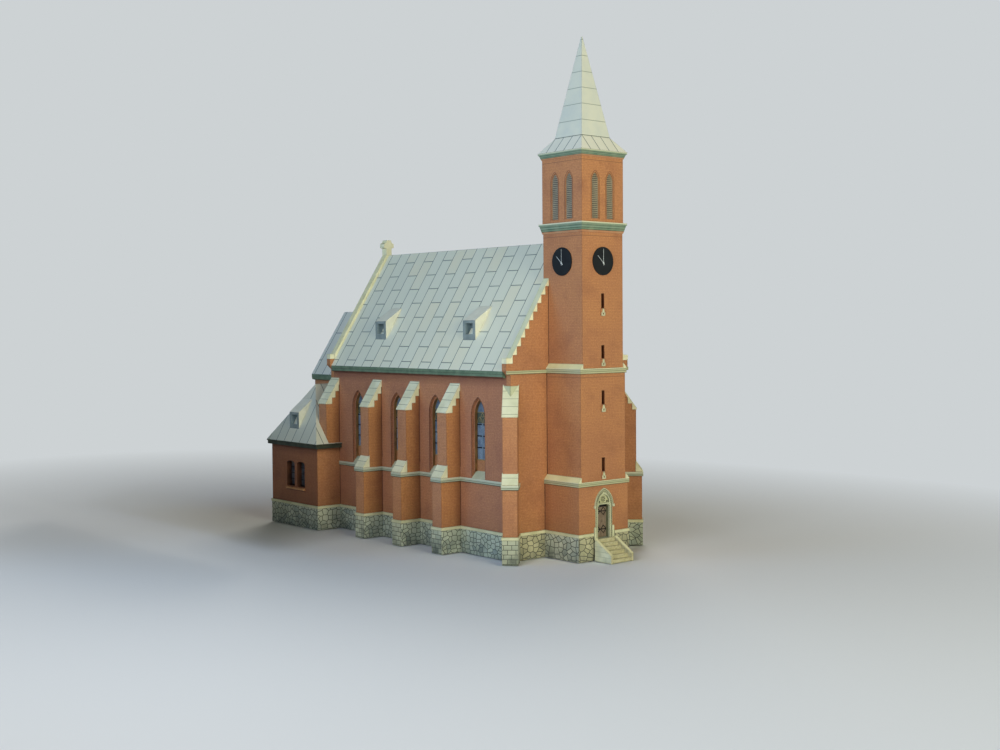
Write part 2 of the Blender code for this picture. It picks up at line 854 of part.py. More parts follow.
def build_spire():
    """Hollow square spire with its flared skirt, open underneath."""
    skirt = hull("spire", frustum(*SPIRE_DRIP, *SPIRE_BREAK), "sheet")
    needle = hull("spire_needle_cutter", frustum(*SPIRE_BREAK, *SPIRE_TIP), "sheet", True)
    needle_low = hull(
        "spire_overlap_cutter",
        frustum(1.20, SPIRE_BREAK[1] - 0.2, 1.20, SPIRE_BREAK[1] + 0.1),
        "sheet",
        True,
    )
    join(skirt, needle_low, needle)
    hollow_skirt = hull(
        "spire_hollow_cutter",
        frustum(1.95, SPIRE_DRIP[1] - 0.5, 1.05, SPIRE_BREAK[1] - 0.05),
        "sheet",
        True,
    )
    hollow_needle = hull(
        "spire_inner_cutter",
        frustum(1.10, SPIRE_BREAK[1] - 0.20, 0.05, SPIRE_TIP[1] - 1.3),
        "sheet",
        True,
    )
    cut(skirt, hollow_skirt, hollow_needle)


def build_clocks():
    """Three clock dials on the free faces of the clock stage."""
    thick = 0.08
    reach = CLOCK_HALF + GAP + thick / 2.0
    spots = {
        "clock_front": (Vector((0.0, -reach, CLOCK_Z)), "X"),
        "clock_left": (Vector((-reach, 0.0, CLOCK_Z)), "Y"),
        "clock_right": (Vector((reach, 0.0, CLOCK_Z)), "Y"),
    }
    for name, (spot, axis) in spots.items():
        turn = Matrix.Translation(spot) @ Matrix.Rotation(math.radians(90.0), 4, axis)
        disc(name, CLOCK_RADIUS, thick, turn, "dial")


def build_portal():
    """Stone portal, door leaf and the flight of steps."""
    frame = pointed_arch(0.0, FRAME_HALF, DOOR_SILL + GAP, FRAME_SPRING, FRAME_APEX)
    front = TOWER_FRONT - FRAME_OUT
    back = TOWER_FRONT + 0.40
    surround = plate("portal_surround", [frame], "y", front, back, "stone")
    hood_outer = pointed_arch(0.0, HOOD_HALF, HOOD_LOW, FRAME_SPRING, HOOD_APEX)
    hood_inner = pointed_arch(0.0, FRAME_HALF - 0.02, HOOD_LOW, FRAME_SPRING, FRAME_APEX - 0.02)
    hood_loop = hood_outer + list(reversed(hood_inner))
    hood = plate(
        "portal_hood_cutter", [hood_loop], "y", TOWER_FRONT - HOOD_OUT, TOWER_FRONT - GAP, "stone", True
    )
    join(surround, hood)
    for tag, sign in (("left", -1.0), ("right", 1.0)):
        foot = plate(
            f"portal_foot_{tag}_cutter",
            [mirrored(box_loop(FRAME_HALF - 0.05, FOOT[0], DOOR_SILL + GAP, FOOT[1]), sign)],
            "y",
            TOWER_FRONT - HOOD_OUT,
            TOWER_FRONT - GAP,
            "stone",
            True,
        )
        join(surround, foot)
    opening = plate(
        "portal_opening_cutter",
        [box_loop(-DOOR_HALF, DOOR_HALF, -2.0, DOOR_HEAD)],
        "y",
        front - 0.5,
        back + 0.5,
        "stone",
        True,
    )
    half, low, apex = TYMPANUM
    tympanum = pointed_arch(0.0, half, low, low + 0.02, apex)
    recess = plate(
        "tympanum_cutter", [tympanum], "y", front - 0.3, TOWER_FRONT + 0.06, "stone", True
    )
    cut(surround, opening, recess)
    plate(
        "door_leaf",
        [box_loop(-FRAME_HALF + 0.10, FRAME_HALF - 0.10, DOOR_SILL + GAP, DOOR_HEAD + 0.12)],
        "y",
        back + GAP,
        back + GAP + 0.05,
        "timber",
    )

    rise = (DOOR_SILL - GROUND) / STEP_COUNT
    start = TOWER_FRONT - 0.22
    run = (start - STEPS_FOOT_Y - 0.10) / (STEP_COUNT - 1)
    profile = [(start, GROUND)]
    y = STEPS_FOOT_Y + 0.10
    z = GROUND
    profile.append((y, z))
    for _ in range(STEP_COUNT - 1):
        z += rise
        profile.append((y, z))
        y += run
        profile.append((y, z))
    profile[-1] = (start, z)
    flight = plate("portal_steps", [profile], "x", -STEPS_HALF + 0.05, STEPS_HALF - 0.05, "stone")
    cheek = [
        (start, GROUND),
        (STEPS_FOOT_Y, GROUND),
        (STEPS_FOOT_Y, -1.42),
        (start, -0.42),
    ]
    for tag, sign in (("left", -1.0), ("right", 1.0)):
        side = plate(
            f"portal_cheek_{tag}_cutter",
            [cheek],
            "x",
            sign * (STEPS_HALF - CHEEK),
            sign * STEPS_HALF,
            "stone",
            True,
        )
        join(flight, side)


def footprint(offset):
    """Return the plan of the whole church at an offset from the walls."""
    right = [
        (LOWER_HALF + offset, TOWER_FRONT - offset),
        (LOWER_HALF + offset, NAVE_FRONT - offset),
    ]
    right += string_plan(offset)
    right += [
        (NAVE_HALF + offset, ANNEX_FRONT - offset),
        (ANNEX_OUT + offset, ANNEX_FRONT - offset),
        (ANNEX_OUT + offset, ANNEX_REAR + offset),
        (CHANCEL_HALF + offset, ANNEX_REAR + offset),
        (CHANCEL_HALF + offset, CHANCEL_REAR + offset),
    ]
    return right + [(-x, y) for x, y in reversed(right)]


def build_plinth():
    """Rubble plinth and its dressed band, one ring round the church."""
    tower_in = LOWER_HALF - WALL
    nave_in = NAVE_HALF - WALL
    annex_in = ANNEX_OUT - WALL
    right = [
        (tower_in, TOWER_FRONT + WALL),
        (tower_in, NAVE_FRONT + WALL),
        (nave_in, NAVE_FRONT + WALL),
        (nave_in, ANNEX_FRONT + WALL),
        (annex_in, ANNEX_FRONT + WALL),
        (annex_in, ANNEX_REAR - WALL),
        (CHANCEL_HALF - WALL, ANNEX_REAR - WALL),
        (CHANCEL_HALF - WALL, CHANCEL_REAR - WALL),
    ]
    hole = right + [(-x, y) for x, y in reversed(right)]
    low = PLINTH_BAND_LOW
    outer = footprint(PLINTH_OUT)
    lip = footprint(PLINTH_BAND_OUT)
    plinth = plate("plinth", [outer, hole], "z", GROUND, low, "rubble")
    band = plate("plinth_band", [lip, hole], "z", low + GAP, -GAP, "stone")
    for obj, tag in ((plinth, "a"), (band, "b")):
        notch = plate(
            f"plinth_door_cutter_{tag}",
            [box_loop(-1.03, 1.03, DOOR_SILL, 1.0)],
            "y",
            TOWER_FRONT - 1.0,
            TOWER_FRONT + 0.40 + 2.0 * GAP + 0.05,
            "stone",
            True,
        )
        cut(obj, notch)


def build_chancel():
    """Lower chancel behind the rear gable."""
    front = NAVE_REAR + GAP
    walls = plate(
        "chancel_walls",
        [
            [
                (-CHANCEL_HALF, front),
                (-CHANCEL_HALF + WALL, front),
                (-CHANCEL_HALF + WALL, CHANCEL_REAR - WALL),
                (CHANCEL_HALF - WALL, CHANCEL_REAR - WALL),
                (CHANCEL_HALF - WALL, front),
                (CHANCEL_HALF, front),
                (CHANCEL_HALF, CHANCEL_REAR),
                (-CHANCEL_HALF, CHANCEL_REAR),
            ]
        ],
        "z",
        0.0,
        10.10,
    )
    eave_x, eave_z = CHANCEL_EAVE
    pitch = (CHANCEL_RIDGE - eave_z) / eave_x
    under = CHANCEL_RIDGE - SLAB - GAP
    gable = [
        (-CHANCEL_HALF, 0.0),
        (CHANCEL_HALF, 0.0),
        (CHANCEL_HALF, under - pitch * CHANCEL_HALF),
        (0.0, under),
        (-CHANCEL_HALF, under - pitch * CHANCEL_HALF),
    ]
    end = plate(
        "chancel_gable_cutter", [gable], "y", CHANCEL_REAR - WALL, CHANCEL_REAR, "brick", True
    )
    join(walls, end)
    inner_x = CHANCEL_HALF + GAP
    side = [
        (eave_x, eave_z),
        (eave_x, eave_z - SLAB),
        (eave_x - 0.04, eave_z - 0.45),
        (inner_x, eave_z - 0.52),
        (inner_x, under + GAP - pitch * inner_x),
    ]
    loop = side + [(0.0, under + GAP)] + [(-x, z) for x, z in reversed(side)]
    loop += [(0.0, CHANCEL_RIDGE)]
    plate("chancel_roof", [loop], "y", front, CHANCEL_REAR + 0.05, "sheet")


def build_annexes():
    """Low annexes on both sides of the chancel."""
    eave_x, eave_front, eave_rear, eave_z = ANNEX_EAVE
    apex_x, apex_y, apex_z = ANNEX_APEX
    chancel = CHANCEL_HALF + GAP
    for tag, sign in (("left", -1.0), ("right", 1.0)):
        plan = [
            (ANNEX_OUT, ANNEX_FRONT),
            (NAVE_HALF + GAP, ANNEX_FRONT),
            (NAVE_HALF + GAP, ANNEX_FRONT + WALL),
            (ANNEX_OUT - WALL, ANNEX_FRONT + WALL),
            (ANNEX_OUT - WALL, ANNEX_REAR - WALL),
            (chancel, ANNEX_REAR - WALL),
            (chancel, ANNEX_REAR),
            (ANNEX_OUT, ANNEX_REAR),
        ]
        walls = plate("annex_walls_" + tag, [mirrored(plan, sign)], "z", 0.0, ANNEX_WALL_TOP)
        low, high = ANNEX_WINDOW_Z
        for number, y in enumerate(ANNEX_WINDOW_Y, start=1):
            half = ANNEX_WINDOW_HALF
            loop = [
                (y - half, low),
                (y + half, low),
                (y + half, high - 0.14),
                (y + half * 0.5, high - 0.03),
                (y, high),
                (y - half * 0.5, high - 0.03),
                (y - half, high - 0.14),
            ]
            cut(
                walls,
                plate(
                    f"annex_window_cutter_{tag}_{number}",
                    [loop],
                    "x",
                    sign * (ANNEX_OUT - 1.0),
                    sign * (ANNEX_OUT + 1.0),
                    "brick",
                    True,
                ),
            )
        ledge = plate(
            f"annex_sill_cutter_{tag}",
            [
                box_loop(
                    ANNEX_WINDOW_Y[0] - 0.66, ANNEX_WINDOW_Y[1] + 0.66, low - 0.28, low - 0.10
                )
            ],
            "x",
            sign * (ANNEX_OUT - 0.2),
            sign * (ANNEX_OUT + 0.08),
            "brick",
            True,
        )
        join(walls, ledge)
        sheet = sign * (ANNEX_OUT - WALL - GAP)
        plate(
            "annex_windows_" + tag,
            [box_loop(ANNEX_WINDOW_Y[0] - 1.0, ANNEX_WINDOW_Y[1] + 1.0, 1.0, 4.0)],
            "x",
            sheet - sign * 0.06,
            sheet,
            "glass",
        )

        def hip(name, drop, inset, cutter):
            base = eave_z - drop
            points = [
                (eave_x - inset, eave_front + inset, base),
                (eave_x - inset, eave_rear - inset, base),
                (chancel - (1.0 if cutter else 0.0), eave_rear - inset, base),
                (chancel - (1.0 if cutter else 0.0), eave_front + inset, base),
                (apex_x - inset * 0.5, apex_y, apex_z - 1.6 * inset),
                (chancel - (1.0 if cutter else 0.0), apex_y, apex_z - 1.6 * inset),
            ]
            if not cutter:
                points += [
                    (x, y, base - 0.10) for x, y, z in points[:4]
                ]
            return hull(name, mirrored(points, sign), "sheet", cutter)

        roof = hip("annex_roof_" + tag, 0.0, 0.0, False)
        inner = hip(f"annex_roof_inner_cutter_{tag}", 0.3, 0.28, True)
        fascia = [
            (eave_x - 0.06, eave_front + 0.06),
            (NAVE_HALF + GAP, eave_front + 0.06),
            (NAVE_HALF + GAP, ANNEX_FRONT + 0.2),
            (ANNEX_OUT - 0.2, ANNEX_FRONT + 0.2),
            (ANNEX_OUT - 0.2, ANNEX_REAR - 0.2),
            (chancel, ANNEX_REAR - 0.2),
            (chancel, eave_rear - 0.06),
            (eave_x - 0.06, eave_rear - 0.06),
        ]
        box = plate(
            f"annex_fascia_cutter_{tag}",
            [mirrored(fascia, sign)],
            "z",
            ANNEX_WALL_TOP + GAP,
            eave_z - 0.02,
            "moulding",
            True,
        )
        cut(roof, inner)
        join(roof, box)
        nave = plate(
            f"annex_nave_cutter_{tag}",
            [mirrored(box_loop(0.0, NAVE_HALF + GAP, 20.0, NAVE_REAR + GAP), sign)],
            "z",
            0.0,
            20.0,
            "brick",
            True,
        )
        pier = plate(
            f"annex_pier_cutter_{tag}",
            [
                mirrored(
                    box_loop(
                        NAVE_HALF - 0.2,
                        BUTTRESS_UPPER + GAP,
                        ANNEX_FRONT - GAP,
                        ANNEX_FRONT + BUTTRESS_WIDTH + GAP,
                    ),
                    sign,
                )
            ],
            "z",
            0.0,
            20.0,
            "brick",
            True,
        )
        shelf = plate(
            f"annex_shelf_cutter_{tag}",
            [mirrored(box_loop(NAVE_HALF - 0.2, BUTTRESS_UPPER + GAP, 22.0, ANNEX_FRONT), sign)],
            "z",
            eave_z + 0.02,
            20.0,
            "brick",
            True,
        )
        cut(roof, nave, pier, shelf)

        slope = (apex_z - eave_z) / (eave_x - apex_x)
        front_x, top_z = ANNEX_DORMER_FRONT
        back_x = ANNEX_DORMER_BACK
        loop = [
            (front_x, eave_z + slope * (eave_x - front_x) + GAP),
            (front_x, top_z),
            (back_x, eave_z + slope * (eave_x - back_x) + GAP + 0.01),
            (back_x, eave_z + slope * (eave_x - back_x) + GAP),
        ]
        dormer(f"annex_dormer_{tag}", mirrored(loop, sign), ANNEX_DORMER_Y, sign * front_x, top_z)


def main():
    """Build the whole church."""
    clear_scene()
    build_plinth()
    build_nave_walls()
    build_copings()
    build_nave_roof()
    build_side_buttresses()
    build_corner_buttresses()
    build_strings()
    build_tower()
    build_tower_bands()
    build_spire()
    build_clocks()
    build_portal()
    build_chancel()
    build_annexes()


main()
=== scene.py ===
"""Looks of a card scale model of a neo-Gothic brick church.

Everything is drawn in metres of the full-size church: the tower stands over
x = 0, y = 0, and z = 0 is the top of the rubble plinth. The model is 1:150, and
DRAWING brings a finished piece from the drawing to the model's own place.
"""

from __future__ import annotations

import logging
import math
from collections.abc import Callable, Iterator, Sequence
from contextlib import contextmanager
from dataclasses import dataclass
from enum import Enum
from functools import partial

import bpy
from mathutils import Matrix, Vector

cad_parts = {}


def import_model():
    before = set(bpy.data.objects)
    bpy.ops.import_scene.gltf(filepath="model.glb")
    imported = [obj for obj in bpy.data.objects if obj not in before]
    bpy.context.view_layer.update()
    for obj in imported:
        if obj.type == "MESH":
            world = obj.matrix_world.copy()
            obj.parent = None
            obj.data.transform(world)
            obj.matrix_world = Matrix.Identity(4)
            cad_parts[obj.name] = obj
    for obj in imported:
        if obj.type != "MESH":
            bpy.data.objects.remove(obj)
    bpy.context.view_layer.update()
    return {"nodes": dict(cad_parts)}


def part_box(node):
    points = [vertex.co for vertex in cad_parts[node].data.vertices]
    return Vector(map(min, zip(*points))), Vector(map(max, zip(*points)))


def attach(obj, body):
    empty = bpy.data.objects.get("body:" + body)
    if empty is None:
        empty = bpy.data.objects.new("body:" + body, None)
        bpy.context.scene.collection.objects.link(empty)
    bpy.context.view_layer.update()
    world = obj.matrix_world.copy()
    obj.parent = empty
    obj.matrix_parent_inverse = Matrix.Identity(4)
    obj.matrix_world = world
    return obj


LOG = logging.getLogger("church")
BODY = "root"
COLOURS = {"data_type": "RGBA"}
GREY = (0.5, 0.5, 0.5, 1.0)
TONES = {"Color1": "000000", "Color2": "FFFFFF", "Mortar": GREY, "Scale": 1.0}
UPRIGHT = (math.radians(90.0), 0.0, 0.0)
NAVE_CORNER = (5.65, 1.48)
Node = bpy.types.Node
Piece = bpy.types.Object
Material = bpy.types.Material
Spot = tuple[float, float, float]
Test = Callable[[Vector, Vector], bool]


@dataclass(frozen=True)
class Drawing:
    """The full-size drawing and its place in the model's frame."""

    ratio: float = 150.0
    middle_y: float = 13.47
    ground: float = -1.95

    @property
    def matrix(self) -> Matrix:
        """Return the matrix from the drawing to the model."""
        shift = Matrix.Translation((0.0, -self.middle_y, -self.ground))
        return Matrix.Scale(1.0 / self.ratio, 4) @ shift

    def read(self, point: Vector) -> Vector:
        """Return a point of the model in the drawing's metres."""
        return point * self.ratio + Vector((0.0, self.middle_y, self.ground))


DRAWING = Drawing()


class Wall(Enum):
    """The four directions that a wall can face, as turns from the front."""

    FRONT = 0.0
    RIGHT = 90.0
    REAR = 180.0
    LEFT = -90.0

    def at(self, along: float, out: float, height: float = 0.0) -> Matrix:
        """Return the matrix that hangs a front-view drawing on this wall.

        Args:
            along: The piece's place along the wall, in the wall's own axis.
            out: How far the wall's face lies from the middle line.
            height: How far the piece is lifted.

        Returns:
            The matrix from front view (x across, -y out, z up) to the wall.
        """
        turn = Matrix.Rotation(math.radians(self.value), 4, "Z")
        return turn @ Matrix.Translation((along, -out, height))


class Side(Enum):
    """The two long sides of the church."""

    LEFT = -1.0
    RIGHT = 1.0

    @property
    def tag(self) -> str:
        """Return the side's name as the nodes spell it."""
        return self.name.lower()

    @property
    def wall(self) -> Wall:
        """Return the direction that the side faces."""
        return Wall[self.name]


# Colours and shader nodes


def linear(code: str) -> tuple[float, ...]:
    """Return an sRGB hex colour as a linear colour with full alpha.

    Args:
        code: Six hex digits.

    Returns:
        Red, green, blue and alpha for a shader socket.
    """
    colour = []
    for start in (0, 2, 4):
        share = int(code[start : start + 2], 16) / 255.0
        colour.append(share / 12.92 if share <= 0.04045 else ((share + 0.055) / 1.055) ** 2.4)
    return *colour, 1.0


class NodeSheet:
    """A material's nodes in the making."""

    def __init__(self, name: str) -> None:
        """Start the material.

        Args:
            name: The material's name.
        """
        self.material = bpy.data.materials.new(name)
        self.material.use_nodes = True
        self.tree = self.material.node_tree
        self.shader = self.tree.nodes["Principled BSDF"]

    def feed(self, socket: bpy.types.NodeSocket, value: object) -> None:
        """Give a socket its value or link.

        Args:
            socket: The socket.
            value: A number, a hex colour, a socket, or a node for its first output in use.
        """
        if isinstance(value, Node):
            value = next(output for output in value.outputs if output.enabled)
        if isinstance(value, bpy.types.NodeSocket):
            self.tree.links.new(value, socket)
        else:
            socket.default_value = linear(value) if isinstance(value, str) else value

    def add(
        self,
        kind: str,
        inputs: dict | None = None,
        stops: Sequence[tuple[float, str]] = (),
        sharp: bool = False,
        **settings,
    ) -> Node:
        """Add a shader node with its settings, values and links.

        Args:
            kind: The node's type name, after ShaderNode.
            inputs: Socket name or index to what the socket is fed.
            stops: A ramp's places and hex colours, if it is one.
            sharp: Keeps a ramp's colours apart, as printed stripes.
            settings: The node's own properties.

        Returns:
            The new node.
        """
        node = self.tree.nodes.new(f"ShaderNode{kind}")
        for name, value in settings.items():
            setattr(node, name, value)
        for name, value in (inputs or {}).items():
            self.feed(node.inputs[name], value)
        if stops:
            ramp = node.color_ramp
            ramp.interpolation = "CONSTANT" if sharp else "LINEAR"
            ramp.elements.remove(ramp.elements[1])
            ramp.elements[0].position = stops[0][0]
            ramp.elements[0].color = linear(stops[0][1])
            for place, code in stops[1:]:
                ramp.elements.new(place).color = linear(code)
        return node

    def flat(self, colour: object, rough: float = 0.5) -> Material:
        """Finish the material with one even colour.

        Args:
            colour: A hex colour or a node.
            rough: The roughness.

        Returns:
            The finished material.
        """
        self.feed(self.shader.inputs["Base Color"], colour)
        self.feed(self.shader.inputs["Roughness"], rough)
        return self.material

    def show(self, surface: Node) -> Material:
        """Finish the material with another surface than its first shader.

        Args:
            surface: The node of that surface.

        Returns:
            The finished material.
        """
        self.feed(self.tree.nodes["Material Output"].inputs[0], surface)
        return self.material


class CardPrint(NodeSheet):
    """A sheet of printed matt card in the making.

    u runs level along each face and v runs up its slope, both in metres of the
    drawing, so a pattern lies on every fold of the card as the print does.
    """

    def __init__(self, name: str) -> None:
        """Start the material and its coordinates on the card's faces.

        Args:
            name: The material's name.
        """
        super().__init__(name)
        place = {
            0: self.add("TexCoord").outputs["Object"],
            1: (DRAWING.ratio,) * 3,
            2: (0.0, DRAWING.middle_y, DRAWING.ground),
        }
        self.point = self.add("VectorMath", place, operation="MULTIPLY_ADD")
        self.normal = self.add("NewGeometry").outputs["True Normal"]
        side = self.add("VectorMath", {0: (0.0, 0.0, 1.0), 1: self.normal}, operation="CROSS_PRODUCT")
        level = self.add("VectorMath", {0: side}, operation="NORMALIZE")
        rise = self.add("VectorMath", {0: self.normal, 1: level}, operation="CROSS_PRODUCT")
        self.u = self.add("VectorMath", {0: self.point, 1: level}, operation="DOT_PRODUCT")
        self.v = self.add("VectorMath", {0: self.point, 1: rise}, operation="DOT_PRODUCT")
        self.x, _, self.z = self.add("SeparateXYZ", {0: self.point}).outputs

    def sheet(self, shift_u: float = 0.0, shift_v: float = 0.0, turned: bool = False) -> Node:
        """Return the face's own coordinates as a vector.

        Args:
            shift_u: Moves the pattern along the level line.
            shift_v: Moves the pattern up the slope.
            turned: Lays the pattern's rows up the slope.

        Returns:
            A node whose output is (u, v, 0), or (v, u, 0) when turned.
        """
        u = self.add("Math", {0: self.u, 1: shift_u}, operation="ADD")
        v = self.add("Math", {0: self.v, 1: shift_v}, operation="ADD")
        first, second = (v, u) if turned else (u, v)
        return self.add("CombineXYZ", {0: first, 1: second})

    def cloud(self, scale: float, detail: float = 3.0, low: float = 0.35, high: float = 0.65) -> Node:
        """Return soft blotches from 0 to 1.

        Args:
            scale: Blotches per metre.
            detail: How many finer layers they have.
            low: The noise that gives 0.
            high: The noise that gives 1.

        Returns:
            The blotches' mask.
        """
        noise = self.add("TexNoise", {"Vector": self.point, "Scale": scale, "Detail": detail})
        return self.add("MapRange", {0: noise, 1: low, 2: high})

    def drift(self, first: object, second: object, *cloud: float) -> Node:
        """Return ink that drifts from one tone to another.

        Args:
            first: The ink between the blotches.
            second: The ink of the blotches.
            cloud: The blotches' scale, detail, low and high.

        Returns:
            The colour's node.
        """
        return self.add("Mix", {0: self.cloud(*cloud), 6: first, 7: second}, **COLOURS)

    def stripe(self, value: object, start: float, pitch: float, width: float) -> Node:
        """Return 1 on printed lines that repeat along a value, else 0.

        Args:
            value: The socket or node that the lines cross.
            start: Where one line begins.
            pitch: The distance from line to line.
            width: Each line's width.

        Returns:
            The lines' mask.
        """
        above = self.add("Math", {0: value, 1: start}, operation="SUBTRACT")
        part = self.add("Math", {0: above, 1: pitch}, operation="DIVIDE")
        place = self.add("Math", {0: part}, operation="FRACT")
        return self.add("Math", {0: place, 1: width / pitch}, operation="LESS_THAN")

    def soiled(
        self, colour: Node, soil: str, high: float, low: float, least: float, most: float
    ) -> Node:
        """Stain the foot of a wall in soft patches.

        Args:
            colour: The colour's node.
            soil: The stain's hex colour.
            high: Where the stain starts.
            low: Where it is fullest.
            least: Its share at the start.
            most: Its share at the fullest.

        Returns:
            The colour with its stain.
        """
        foot = self.add("MapRange", {0: self.z, 1: high, 2: low, 3: least, 4: most})
        damp = self.add("Math", {0: foot, 1: self.cloud(0.9, 4.0)}, operation="MULTIPLY")
        return self.add("Mix", {0: damp, 6: colour, 7: soil}, **COLOURS)

    def inked(self, colour: Node, share: float, ink: str = "2A2018") -> Node:
        """Darken the folds and edges: the print's dark outlines, and painted shade in the inner corners.

        Args:
            colour: The colour's node.
            share: How dark the lines are.
            ink: The lines' hex colour.

        Returns:
            The colour with its edge lines.
        """
        # Bevel normals find every fold: printed outlines, and painted shade in the inner corners.
        bent = self.add("Bevel", {"Radius": 0.00042}, samples=4)
        facing = self.add("VectorMath", {0: bent, 1: self.normal}, operation="DOT_PRODUCT")
        line = self.add("MapRange", {0: facing, 1: 0.985, 2: 0.82, 3: 0.0, 4: share})
        return self.add("Mix", {0: line, 6: colour, 7: ink}, **COLOURS)

    def coat(self, colour: Node, rough: float, gaps: object = None, depth: float = 0.0) -> Material:
        """Finish the material, with the card's fine fibre as a faint bump.

        Args:
            colour: The colour's node.
            rough: The card's roughness.
            gaps: 1 in the joints that lie lower, if any.
            depth: The joints' depth in metres of the model.

        Returns:
            The finished material.
        """
        self.feed(self.shader.inputs["Specular IOR Level"], 0.35)
        fibre = self.add("TexNoise", {"Vector": self.point, "Scale": 30.0, "Detail": 4.0})
        bump = self.add("Bump", {"Strength": 0.25, "Distance": 0.00004, "Height": fibre})
        if gaps is not None:
            relief = self.add("Math", {0: 1.0, 1: gaps}, operation="SUBTRACT")
            steps = {"Strength": 0.6, "Distance": depth, "Height": relief, "Normal": bump}
            bump = self.add("Bump", steps)
        self.feed(self.shader.inputs["Normal"], bump)
        return self.flat(colour, rough)


# Finishes


@dataclass(frozen=True)
class Brickwork:
    """Inkjet-printed brickwork on matt card.

    English bond, in courses 0.12 m high, or 0.8 mm on the model: rows of
    stretchers and rows of headers take turns, which gives the fine level lines.
    The ink drifts between orange and dull red in large soft clouds, and grows
    darker towards the foot. Thin lines of painted shade, as under bands and
    cornices, are drawn at the heights in rules. Painted shade under the eaves grows
    from the first height in shade to the second, and a soft painted shade beside a
    wall fades from the first distance in fold, off the middle line, to the second.
    """

    name: str = "printed_brick_card"
    warm: str = "CA8D59"
    dull: str = "BC8156"
    dark: str = "A56D4B"
    mortar: str = "966A4E"
    # Ink of the darker foot and of the painted shade lines at the heights in rules.
    soot: str = "6B4A35"
    # Ink of the painted shade under the eaves and beside a wall.
    eaves: str = "55281D"
    course: float = 0.1175
    stretcher: float = 0.30
    joint: float = 0.014
    rough: float = 0.62
    single: float = 0.22
    header_share: float = 0.08
    joint_share: float = 0.34
    edge_share: float = 0.62
    # Height where the brick starts to grow darker towards the foot.
    soot_top: float = 1.6
    rules: tuple[float, ...] = ()
    shade: tuple[float, float] = (90.0, 91.0)
    fold: tuple[float, float] = (-2.0, -1.0)

    def build(self) -> Material:
        """Return the brick print."""
        card = CardPrint(self.name)
        face = card.sheet()
        headers = card.stripe(card.v, 0.0, 2.0 * self.course, self.course)
        bonds = []
        for width in (self.stretcher, self.stretcher / 2.0):
            sizes = {"Mortar Size": self.joint, "Brick Width": width, "Row Height": self.course}
            bonds.append(card.add("TexBrick", {**TONES, **sizes, "Vector": face}).outputs)
        tone = card.add("Mix", {0: headers, 6: bonds[0][0], 7: bonds[1][0]}, **COLOURS)
        joints = card.add("Mix", {0: headers, 2: bonds[0][1], 3: bonds[1][1]})
        shades = ((0.0, self.dark), (0.35, self.dull), (0.7, self.warm), (1.0, self.dull))
        bricks = card.add("ValToRGB", {0: tone}, shades)
        mottled = card.drift(card.drift(self.dull, self.warm, 0.22), self.dark, 0.55, 4.0, 0.5, 0.8)
        shown = card.add("Mix", {0: self.single, 6: mottled, 7: bricks}, **COLOURS)
        fine = ((headers, self.header_share, self.dark), (joints, self.joint_share, self.mortar))
        for mask, share, ink in fine:
            faint = card.add("Math", {0: mask, 1: share}, operation="MULTIPLY")
            shown = card.add("Mix", {0: faint, 6: shown, 7: ink}, **COLOURS)
        speck = card.drift("FFFFFF", "E8E2DC", 9.0, 2.0, 0.3, 0.7)
        shown = card.add("Mix", {0: 1.0, 6: shown, 7: speck}, blend_type="MULTIPLY", **COLOURS)
        # The brick grows darker towards the foot.
        low = card.add("MapRange", {0: card.z, 1: self.soot_top, 2: 0.0, 3: 0.0, 4: 0.22})
        shown = card.add("Mix", {0: low, 6: shown, 7: self.soot}, **COLOURS)
        # Thin lines of painted shade under bands and cornices.
        for height in self.rules:
            rule = card.add("Math", {0: card.z, 1: height, 2: 0.028}, operation="COMPARE")
            share = card.add("Math", {0: rule, 1: 0.5}, operation="MULTIPLY")
            shown = card.add("Mix", {0: share, 6: shown, 7: self.soot}, **COLOURS)
        # Painted shade beside a wall and under the eaves.
        away = card.add("Math", {0: card.x}, operation="ABSOLUTE")
        beside = card.add("MapRange", {0: away, 1: self.fold[0], 2: self.fold[1], 3: 0.5, 4: 0.0})
        under = card.add("MapRange", {0: card.z, 1: self.shade[0], 2: self.shade[1], 3: 0.0, 4: 0.85})
        for share in (beside, under):
            shown = card.add("Mix", {0: share, 6: shown, 7: self.eaves}, **COLOURS)
        return card.coat(card.inked(shown, self.edge_share), self.rough, joints, 0.00002)


@dataclass(frozen=True)
class Rubble:
    """Printed polygonal rubble on matt card.

    Stones about 0.4 m across, 2.7 mm on the model, cream to grey-green with
    dark joints, and soil stains that darken the foot.
    """

    name: str = "printed_rubble_card"
    stones: float = 2.45
    pale: str = "C8CFB6"
    cream: str = "B2B99F"
    grey: str = "99A496"
    mortar: str = "262923"
    soil: str = "39413E"
    joint: float = 0.036

    def build(self) -> Material:
        """Return the rubble print."""
        card = CardPrint(self.name)
        squat = card.add("Mapping", {0: card.sheet(), 3: (1.0, 1.25, 1.0)})
        sizes = {"Vector": squat, "Scale": self.stones, "Randomness": 0.93}
        level = {"voronoi_dimensions": "2D"}
        cells = card.add("TexVoronoi", sizes, **level).outputs["Color"]
        edges = card.add("TexVoronoi", sizes, feature="DISTANCE_TO_EDGE", **level)
        shades = ((0.0, self.grey), (0.4, self.cream), (0.8, self.pale), (1.0, self.cream))
        stones = card.add("ValToRGB", {0: card.add("SeparateColor", {0: cells})}, shades)
        clouded = card.drift(stones, self.cream, 2.6, 3.0, 0.45, 0.8)
        gap = card.add("MapRange", {0: edges, 1: self.joint, 2: 2.4 * self.joint, 3: 0.9, 4: 0.0})
        jointed = card.add("Mix", {0: gap, 6: clouded, 7: self.mortar}, **COLOURS)
        stained = card.soiled(jointed, self.soil, -0.3, -1.9, 0.03, 0.72)
        return card.coat(card.inked(stained, 0.45), 0.66, gap, 0.00009)


